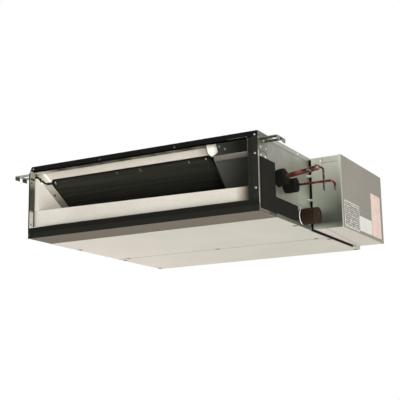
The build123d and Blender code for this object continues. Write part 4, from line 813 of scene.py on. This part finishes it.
# Each finish and the nodes that have it
FINISHES = (
    (top_finish(), ("top_panel",)),
    (side_finish(), ("left_side_panel", "right_side_panel")),
    (under_finish(), ("front_bottom_panel", "rear_bottom_panel")),
    (
        bracket_finish(),
        ("bracket_front_left", "bracket_front_right", "bracket_rear_left", "bracket_rear_right"),
    ),
    (
        steel("steel_inner", (120, 120, 112), (150, 149, 140)),
        ("front_base_panel", "fan_bulkhead", "inlet_frame", "motor_mount", "motor_clamps"),
    ),
    (tube_sheet_finish(), ("left_tube_sheet",)),
    # the right tube sheet, painted dark as painted shade
    (
        steel("steel_end_sheet", (30, 30, 27), (44, 44, 40), metallic=0.2, roughness=0.55),
        ("right_tube_sheet",),
    ),
    (box_finish(), ("control_box",)),
    (box_cover_finish(), ("control_box_cover",)),
    (screw_steel, ("bottom_panel_screws", "pan_head_screws")),
    (
        steel("steel_shaft", (140, 140, 140), (175, 175, 175), metallic=1.0, roughness=0.25),
        ("fan_shaft",),
    ),
    (frame_finish(), ("outlet_frame",)),
    (collar_finish(), ("outlet_collar",)),
    (header_cover_finish(), ("header_cover",)),
    (foam_strip, ("bottom_foam",)),
    (foam_side, ("side_foam",)),
    (foam_sleeve, ("gas_pipe_sleeve", "liquid_pipe_sleeve")),
    (foam_seal, ("box_seal", "motor_rings")),
    (pan_finish(), ("drain_pan",)),
    (strip_finish(), ("top_insulation",)),
    (end_foam, ("top_insulation_end",)),
    (left_finish(), ("left_insulation",)),
    (fin_metal, ("coil_fins",)),
    (copper("copper_gas", heated=0.418, tip=gas_tip), ("gas_pipe",)),
    (copper("copper_liquid", heated=0.600, tip=liquid_tip, dull=(0.402, 0.474)), ("liquid_pipe",)),
    (copper("copper_coil", heated=0.0, tip=-1.0), ("coil_tubes", "gas_header", "liquid_header")),
    (brass_finish(), ("expansion_valve",)),
    (plastic("plastic_white", (222, 221, 215), (236, 235, 230)), ("board_standoffs", "terminal_blocks")),
    (ring_finish(), ("drain_ring",)),
    (
        plastic("plastic_grey", (84, 86, 88), (104, 106, 108)),
        ("drain_socket", "fan_wheel_left", "fan_wheel_right", "filter_rails"),
    ),
    (
        plastic("plastic_black", (26, 26, 27), (38, 38, 39), roughness=0.5),
        (
            "expansion_valve_coil", "fan_casing_left_upper", "fan_casing_left_lower",
            "fan_casing_right_upper", "fan_casing_right_lower", "filter_frame", "board_components",
        ),
    ),
    (cap_finish(), ("drain_cap", "cable_grommets")),
    (plastic("paint_motor", (62, 64, 66), (78, 80, 82), roughness=0.4), ("fan_motor",)),
    (plastic("board", (22, 74, 46), (34, 92, 58), roughness=0.3), ("control_board",)),
    (net_finish(), ("filter_mesh",)),
)
for finish, names in FINISHES:
    for name in names:
        materials = nodes[name].data.materials
        materials.clear()
        materials.append(finish.material)


# Pieces in mesh code, each in the place of the CAD nodes that it stands for
WELD = 1e-6


def placed(name, data):
    """A new object in the scene."""
    thing = bpy.data.objects.new(name, data)
    bpy.context.scene.collection.objects.link(thing)
    return thing


def shown(name, mesh, finish, *stands_for, smooth=False):
    """A finished piece that moves with the casing."""
    if smooth:
        mesh.polygons.foreach_set("use_smooth", [True] * len(mesh.polygons))
    mesh.materials.clear()
    mesh.materials.append(finish.material)
    piece = placed(name, mesh)
    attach(piece, "casing")
    if stands_for:
        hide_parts(*stands_for)
    return piece


def evaluated(mesh, *steps):
    """The mesh after modifiers, each a kind and its settings."""
    holder = placed("work", mesh)
    for kind, settings in steps:
        modifier = holder.modifiers.new(kind, kind)
        for key, value in settings.items():
            setattr(modifier, key, value)
    graph = bpy.context.evaluated_depsgraph_get()
    made = bpy.data.meshes.new_from_object(holder.evaluated_get(graph))
    bpy.data.objects.remove(holder)
    return made


def built(name, work, outward=True):
    """The mesh of what was built, with its faces turned outward if need be."""
    if outward:
        bmesh.ops.recalc_face_normals(work, faces=work.faces)
    mesh = bpy.data.meshes.new(name)
    work.to_mesh(mesh)
    work.free()
    return mesh


def skirt(work, ring, other):
    """Faces from one ring of points to another."""
    for first in range(len(ring)):
        second = (first + 1) % len(ring)
        work.faces.new((ring[first], ring[second], other[second], other[first]))


def softened(mesh, cell, rounds, lumps, sink=0.0):
    """A mesh with rounded edges and waves in its skin, and its skin sunk by a share of their height."""
    soft = evaluated(
        mesh,
        ("REMESH", {"mode": "VOXEL", "voxel_size": cell}),
        ("SMOOTH", {"factor": 0.5, "iterations": rounds}),
    )
    sunk = sink * sum(height for scale, height in lumps)
    skin = [(vertex.co.copy(), vertex.normal.copy()) for vertex in soft.vertices]
    moved = []
    for place, outward in skin:
        wave = sum(noise.noise(place * scale) * height for scale, height in lumps)
        moved.extend(place + outward * (wave - sunk))
    soft.vertices.foreach_set("co", moved)
    soft.update()
    return soft


# Foam in place of the CAD model's soft solids. Lumps are pairs of a scale and a height.
SLEEVE_LUMPS = ((70.0, 0.0011), (260.0, 0.0004))
STRIP_LUMPS = ((28.0, 0.0003), (190.0, 0.0002))
BLOCK_LUMPS = ((90.0, 0.0009),)
BRAZE_LUMPS = ((240.0, 0.0006),)
SINK = 0.6


def foam(name, node, cell, lumps, finish):
    """A node's soft solid with rounded edges and an uneven skin, a little inside the solid's own."""
    work = bmesh.new()
    work.from_mesh(nodes[node].data)
    bmesh.ops.remove_doubles(work, verts=work.verts, dist=WELD)
    mesh = softened(built(name, work, outward=False), cell, 2, lumps, SINK)
    shown(name, mesh, finish, node, smooth=True)


foam("gas_sleeve", "gas_pipe_sleeve", 0.0016, SLEEVE_LUMPS, foam_sleeve)
foam("liquid_sleeve", "liquid_pipe_sleeve", 0.0016, SLEEVE_LUMPS, foam_sleeve)
foam("underside_strip", "bottom_foam", 0.0024, STRIP_LUMPS, foam_strip)
foam("right_side_foam", "side_foam", 0.0020, STRIP_LUMPS, foam_side)
foam("box_gasket", "box_seal", 0.0020, STRIP_LUMPS, foam_seal)


def soft_hull(name, points, cell, rounds, lumps, finish, *stands_for):
    """The hull of some points, with rounded edges and waves in its skin."""
    work = bmesh.new()
    for point in points:
        work.verts.new(point)
    hull = bmesh.ops.convex_hull(work, input=work.verts)
    bmesh.ops.delete(work, geom=list({*hull["geom_interior"], *hull["geom_unused"]}), context="VERTS")
    mesh = softened(built(name, work, outward=False), cell, rounds, lumps)
    return shown(name, mesh, finish, *stands_for, smooth=True)


# The end block is a plug of foam, pressed in under the collar's ceiling. Outlines are of X and Z.
BLOCK_FRONT = (
    (0.2000, 0.1858), (0.2290, 0.1858), (0.2345, 0.1735), (0.2365, 0.1620), (0.2225, 0.1550),
    (0.2135, 0.1543), (0.2040, 0.1640),
)
BLOCK_SETBACK = 0.004
BLOCK_END_GAP = 0.001
BLOCK_REAR = ((0.1905, 0.1858), (0.2380, 0.1858), (0.2380, 0.1600), (0.2200, 0.1580), (0.2000, 0.1600))
block_low, block_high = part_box("top_insulation_end")
block_points = [(x, block_low.y + BLOCK_SETBACK, z) for x, z in BLOCK_FRONT]
block_points += [(x, block_high.y - BLOCK_END_GAP, z) for x, z in BLOCK_REAR]
end_block = soft_hull(
    "end_block", block_points, 0.0014, 4, BLOCK_LUMPS, end_foam, "top_insulation_end"
)

# Brazing round the gas pipe's reducer, as rings of a radius at an X
PIPE_POINT = Vector((0.4450, -0.2370, 0.1144))
PIPE_SLOPE = 0.11
BRAZE_PROFILE = ((0.4480, 0.0066), (0.4510, 0.0080), (0.4585, 0.0078), (0.4625, 0.0050))
BRAZE_SIDES = 12
braze_points = []
for x, radius in BRAZE_PROFILE:
    centre = PIPE_POINT + (x - PIPE_POINT.x) * Vector((1, 0, PIPE_SLOPE))
    for number in range(BRAZE_SIDES):
        turn = number * math.tau / BRAZE_SIDES
        braze_points.append(centre + Vector((0, math.cos(turn), math.sin(turn))) * radius)
soft_hull("braze_ring", braze_points, 0.0008, 2, BRAZE_LUMPS, braze_finish())

# The collar's ceiling turns down to a black lip behind the frame
collar_low, collar_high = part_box("outlet_collar")
CEILING = collar_high.z - 0.001
LIP_X = (-0.3385, 0.3190)
LIP_Y = (collar_low.y - 0.0006, collar_low.y + 0.0105)
LIP_Z = (CEILING - 0.0005, CEILING + 0.0010)
LIP_BEVEL = 0.0002
work = bmesh.new()
bmesh.ops.create_cube(work, size=1.0)
for corner in work.verts:
    corner.co = [span[part > 0] for span, part in zip((LIP_X, LIP_Y, LIP_Z), corner.co)]
bmesh.ops.bevel(work, geom=work.edges, offset=LIP_BEVEL, segments=2, affect="EDGES")
shown("ceiling_lip", built("ceiling_lip", work, outward=False), lip_finish())


# Coil fins: thin upright plates across the leaning fin pack
FIN_PITCH = 0.0021
FIN_THICKNESS = 0.00022
COIL_LEAN = math.radians(31)
COIL_DEPTH = 0.038
fin_low, fin_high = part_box("coil_fins")
down_face = Vector((0, math.cos(COIL_LEAN), -math.sin(COIL_LEAN)))
into_coil = Vector((0, math.sin(COIL_LEAN), math.cos(COIL_LEAN)))
coil_run = (fin_high.y - fin_low.y - COIL_DEPTH * math.sin(COIL_LEAN)) / math.cos(COIL_LEAN)
coil_edge = Vector((0, fin_low.y, fin_low.z + coil_run * math.sin(COIL_LEAN)))
fin_count = int((fin_high.x - fin_low.x - FIN_THICKNESS) / FIN_PITCH)
work = bmesh.new()
for index in range(fin_count + 1):
    across = fin_low.x + index * (fin_high.x - fin_low.x - FIN_THICKNESS) / fin_count
    corners = []
    for side in (0.0, FIN_THICKNESS):
        for run, depth in ((0, 0), (coil_run, 0), (coil_run, COIL_DEPTH), (0, COIL_DEPTH)):
            place = coil_edge + down_face * run + into_coil * depth
            corners.append(work.verts.new((across + side, place.y, place.z)))
    work.faces.new(corners[3::-1])
    work.faces.new(corners[4:])
    skirt(work, corners[:4], corners[4:])
shown("fin_stack", built("fins", work), fin_metal, "coil_fins")


# Screws with a cross recess
RECESS_ARM = 0.0018
RECESS_WIDTH = 0.00045
RECESS_DEPTH = 0.0011
RECESS_TAPER = 0.45
RECESS_OVERSHOOT = 0.0004
SCREW_SEGMENTS = 24
FIRST_TURN = 0.4
TURN_STEP = 0.9


def turned(profile):
    """A closed turned shape about Z, from pairs of radius and height, first and last on the axis."""
    work = bmesh.new()
    points = [work.verts.new((radius, 0, height)) for radius, height in profile]
    edges = [work.edges.new(pair) for pair in zip(points, points[1:])]
    bmesh.ops.spin(
        work, geom=points + edges, cent=(0, 0, 0), axis=(0, 0, 1), angle=math.tau, steps=SCREW_SEGMENTS
    )
    bmesh.ops.remove_doubles(work, verts=work.verts, dist=WELD)
    return built("turned", work)


def cross_cutter(top):
    """A tapered cross that cuts a screwdriver's recess down from a height."""
    width, reach = RECESS_WIDTH, RECESS_ARM
    arm = ((width, width, 0), (width, reach, 0), (-width, reach, 0))
    outline = []
    for quarter in range(4):
        turn = Matrix.Rotation(quarter * math.pi / 2, 3, "Z")
        outline += [turn @ Vector(corner) for corner in arm]
    work = bmesh.new()
    upper = [work.verts.new((p.x, p.y, top + RECESS_OVERSHOOT)) for p in outline]
    lower = [
        work.verts.new((p.x * RECESS_TAPER, p.y * RECESS_TAPER, top - RECESS_DEPTH)) for p in outline
    ]
    work.faces.new(upper)
    work.faces.new(lower[::-1])
    skirt(work, lower, upper)
    return placed("cutter", built("cutter", work))


def seated(points, head):
    """Where a screw's solid has its seat, and the way its head points, from the solid's points."""
    low = Vector([min(point[axis] for point in points) for axis in range(3)])
    high = Vector([max(point[axis] for point in points) for axis in range(3)])
    axis = min(range(3), key=lambda one: high[one] - low[one])
    seat = (low + high) / 2
    width = {}
    for end in (low[axis], high[axis]):
        across = [point - seat for point in points if abs(point[axis] - end) < 1e-5]
        width[end] = max(sum(one[k] ** 2 for k in range(3) if k != axis) for one in across)
    end = max(width, key=width.get)
    outward = Vector((0, 0, 0))
    outward[axis] = 1.0 if end == high[axis] else -1.0
    seat[axis] = end - head * outward[axis]
    return seat, outward


def screws(name, node, profile, head, finish):
    """One screw at each of a node's solids. head is how far its top stands out from its seat."""
    cutter = cross_cutter(head)
    single = evaluated(
        turned(profile),
        ("BOOLEAN", {"operation": "DIFFERENCE", "solver": "EXACT", "object": cutter}),
    )
    bpy.data.objects.remove(cutter)
    work = bmesh.new()
    for number, points in enumerate(islands(node)):
        seat, outward = seated(points, head)
        spin = Matrix.Rotation(FIRST_TURN + number * TURN_STEP, 4, "Z")
        place = Matrix.Translation(seat) @ outward.to_track_quat("Z", "Y").to_matrix().to_4x4() @ spin
        copy = single.copy()
        copy.transform(place)
        work.from_mesh(copy)
        bpy.data.meshes.remove(copy)
    return shown(name, built(name, work, outward=False), finish, node)


PAN_HEAD_HEIGHT = 0.0016
PAN_HEAD = (
    (0, PAN_HEAD_HEIGHT), (0.0012, 0.00158), (0.0022, 0.0014), (0.0029, 0.0009), (0.0032, 0.0003),
    (0.0032, 0), (0.0020, 0), (0.0020, -0.0024), (0.0017, -0.0026), (0, -0.0026),
)
FLAT_HEAD = ((0, 0), (0.0028, 0), (0.0029, -0.0001), (0.0020, -0.001), (0.0020, -0.0026), (0, -0.0026))
# the underside's flat screws, painted dark as painted shade round their heads
shaded_screw = steel("steel_dark_screw", (18, 18, 16), (44, 44, 40), roughness=0.5)
screws("pan_screws", "pan_head_screws", PAN_HEAD, PAN_HEAD_HEIGHT, screw_steel)
screws("flat_screws", "bottom_panel_screws", FLAT_HEAD, 0.0, shaded_screw)


# Bare plates on the right face of the electrical box
PLATE_THICKNESS = 0.0003
PLATE_CORNER = 0.002
CORNER_STEPS = 4


def plate(name, low, high, finish):
    """A thin plate with rounded corners on the box's right face, between (Y, Z) corners."""
    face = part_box("control_box_cover")[1].x
    left, right = low[0] + PLATE_CORNER, high[0] - PLATE_CORNER
    bottom, top = low[1] + PLATE_CORNER, high[1] - PLATE_CORNER
    outline = []
    for number, (y, z) in enumerate(((right, top), (left, top), (left, bottom), (right, bottom))):
        for step in range(CORNER_STEPS + 1):
            angle = (number + step / CORNER_STEPS) * math.pi / 2
            outline.append((y + PLATE_CORNER * math.cos(angle), z + PLATE_CORNER * math.sin(angle)))
    work = bmesh.new()
    back = [work.verts.new((face, y, z)) for y, z in outline]
    front = [work.verts.new((face + PLATE_THICKNESS, y, z)) for y, z in outline]
    work.faces.new(front)
    work.faces.new(back[::-1])
    skirt(work, back, front)
    return shown(name, built(name, work), finish)


GREY_LOW, GREY_HIGH = (-0.022, 0.005), (0.090, 0.076)
GREY_BORDER = 0.0025
GREY_FIELD = {
    "Y": (GREY_LOW[0] + GREY_BORDER, GREY_HIGH[0] - GREY_BORDER),
    "Z": (GREY_LOW[1] + GREY_BORDER, GREY_HIGH[1] - GREY_BORDER),
}
grey_film = film(
    "film_grey", (128, 123, 117), (158, 153, 146), ink=(88, 84, 80), strength=0.9, field=GREY_FIELD
)
white_film = film("film_white", (206, 205, 197), (220, 219, 211), ink=(188, 190, 184), strength=0.7)
pink_film = film("film_pink", (212, 190, 178), (224, 206, 193), ink=(216, 168, 158), strength=0.8)
plate("plate_grey", GREY_LOW, GREY_HIGH, grey_film)
plate("plate_white", (0.093, 0.010), (0.190, 0.051), white_film)
plate("plate_pink", (0.193, 0.010), (0.272, 0.133), pink_film)


# Black foam tape along the top edge of the left insulation, in front and down its slope, which also
# stands for the shade along that edge
TAPE_WIDTH = 0.0054
TAPE_THICKNESS = 0.0016
TAPE_SECTION = ((-1, 0), (-1, 0.7), (-0.8, 1), (0.8, 1), (1, 0.7), (1, 0))
TAPE_WAVE = 0.0003
insulation_low, insulation_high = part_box("left_insulation")
tape_front = Vector((insulation_low.x, insulation_low.y, 0.1745))
tape_corner = Vector((insulation_high.x, insulation_low.y, 0.1740))
tape_end = Vector((insulation_high.x, -0.3050, 0.1590))
work = bmesh.new()
for start, end, outward, steps in (
    (tape_front, tape_corner, Vector((0, -1, 0)), 6), (tape_corner, tape_end, Vector((1, 0, 0)), 12)
):
    across = (end - start).normalized().cross(outward)
    rings = []
    for step in range(steps + 1):
        middle = start.lerp(end, step / steps)
        half = TAPE_WIDTH / 2 + TAPE_WAVE * noise.noise(middle * 400)
        section = [
            middle + across * side * half + outward * lift * TAPE_THICKNESS
            for side, lift in TAPE_SECTION
        ]
        rings.append([work.verts.new(point) for point in section])
    for first, second in zip(rings, rings[1:]):
        skirt(work, first, second)
    work.faces.new(rings[0])
    work.faces.new(rings[-1][::-1])
tape_and_shade = shown("foam_tape", built("foam_tape", work), foam_seal)


# Bent fin ends along the coil's top edge, finished bright as painted glints, each with its X, length and
# width
BENT_FINS = (
    (-0.2935, 0.011, 0.0014), (-0.2905, 0.007, 0.0010), (-0.0885, 0.008, 0.0010),
    (-0.0160, 0.013, 0.0013), (0.1325, 0.010, 0.0012), (0.1830, 0.005, 0.0030),
)
BEND_STEPS = 4
BEND_START = 0.004
BEND_GAP = 0.0004
BEND_HEIGHT = 0.0012
work = bmesh.new()
for across, run, width in BENT_FINS:
    for side in (-1, 1):
        rows = []
        for step in range(BEND_STEPS + 1):
            share = step / BEND_STEPS
            way = down_face * (run * share - BEND_START)
            lift = BEND_GAP + BEND_HEIGHT * math.sin(share * math.pi)
            place = coil_edge + way - into_coil * lift
            rows.append(
                [
                    work.verts.new((across + side * width / 2 * half, place.y, place.z))
                    for half in (0, 1)
                ]
            )
        for first, second in zip(rows, rows[1:]):
            work.faces.new((first[0], first[1], second[1], second[0]))
shown("bent_fins", built("bent_fins", work, outward=False), fin_glint_finish())


# Stage: a pale floor well below the hung unit, clear from below, in white surroundings
FLOOR_Z = -1.1
FLOOR_REACH = 20
FLOOR_GLOW = 0.7
floor_mesh = bpy.data.meshes.new("floor")
floor_corners = [
    (x * FLOOR_REACH, y * FLOOR_REACH, FLOOR_Z) for x, y in ((-1, -1), (1, -1), (1, 1), (-1, 1))
]
floor_mesh.from_pydata(floor_corners, [], [(0, 1, 2, 3)])
floor = placed("floor", floor_mesh)
floor_finish = Finish("floor", roughness=0.9, specular=0.2)
floor_finish.colour(floor_finish.cloudy((232, 231, 229), (238, 237, 235), 1.5))
glow = floor_finish.add("ShaderNodeEmission")
floor_finish.feed(glow.inputs["Color"], (246, 245, 244))
to_camera = floor_finish.add("ShaderNodeLightPath").outputs["Is Camera Ray"]
lit = floor_finish.choose(
    floor_finish.both(to_camera, FLOOR_GLOW), floor_finish.shader.outputs[0], glow.outputs[0]
)
clear = floor_finish.add("ShaderNodeBsdfTransparent").outputs[0]
from_below = floor_finish.add("ShaderNodeNewGeometry").outputs["Backfacing"]
surface = floor_finish.tree.nodes["Material Output"].inputs["Surface"]
floor_finish.feed(surface, floor_finish.choose(from_below, lit, clear))
floor.data.materials.append(floor_finish.material)

world = bpy.data.worlds.new("studio")
bpy.context.scene.world = world
world.use_nodes = True
world.node_tree.nodes.clear()
studio = Shading(world.node_tree)
rays = studio.add("ShaderNodeLightPath").outputs
mirrored = studio.either(rays["Is Glossy Ray"], rays["Is Transmission Ray"])
AMBIENT = ((1.0, 0.985, 0.96, 1.0), 0.5)
BACKDROP = ((1.0, 1.0, 1.0, 1.0), 1.0)
backgrounds = []
for colour, strength in (AMBIENT, BACKDROP):
    background = studio.add("ShaderNodeBackground")
    studio.feed(background.inputs["Color"], colour)
    studio.feed(background.inputs["Strength"], strength)
    backgrounds.append(background.outputs[0])
sky = studio.choose(studio.either(rays["Is Camera Ray"], mirrored), *backgrounds)
studio.feed(studio.add("ShaderNodeOutputWorld").inputs[0], sky)

MIDDLE = Vector((0.05, 0.0, 0.1))


def lamp(name, place, power, size):
    """A soft square lamp that looks at the unit."""
    light = bpy.data.lights.new(name, "AREA")
    light.energy = power
    light.size = size
    thing = placed(name, light)
    thing.location = place
    thing.rotation_mode = "QUATERNION"
    thing.rotation_quaternion = (MIDDLE - Vector(place)).to_track_quat("-Z", "Y")
    thing.visible_camera = False


lamp("key", (2.7, -2.1, -0.35), power=78.0, size=1.8)
lamp("fill", (-0.6, -3.1, -0.5), power=34.0, size=2.2)
lamp("under", (0.0, 0.1, -1.05), power=12.5, size=2.2)
lamp("top", (0.8, 0.6, 2.6), power=30.0, size=2.4)

# Camera at the photograph's place, below and to the right of the outlet
CAMERA_PLACE = (1.33146, -2.44115, -0.47111)
LENS = 88.58
AZIMUTH = math.radians(28.679)
ELEVATION = math.radians(-12.209)
ROLL = math.radians(-0.9425)
camera_data = bpy.data.cameras.new("camera")
camera_data.sensor_width = 36.0
camera_data.lens = LENS
camera_data.clip_start = 0.05
camera_data.clip_end = 100.0
camera = placed("camera", camera_data)
back = Vector((
    math.sin(AZIMUTH) * math.cos(ELEVATION),
    -math.cos(AZIMUTH) * math.cos(ELEVATION),
    math.sin(ELEVATION),
))
right = Vector((math.cos(AZIMUTH), math.sin(AZIMUTH), 0.0))
up = back.cross(right)
rolled_right = right * math.cos(ROLL) + up * math.sin(ROLL)
rolled_up = up * math.cos(ROLL) - right * math.sin(ROLL)
axes = Matrix((rolled_right, rolled_up, back)).transposed()
camera.matrix_world = Matrix.Translation(CAMERA_PLACE) @ axes.to_4x4()
bpy.context.scene.camera = camera
bpy.context.scene.view_settings.view_transform = "Standard"
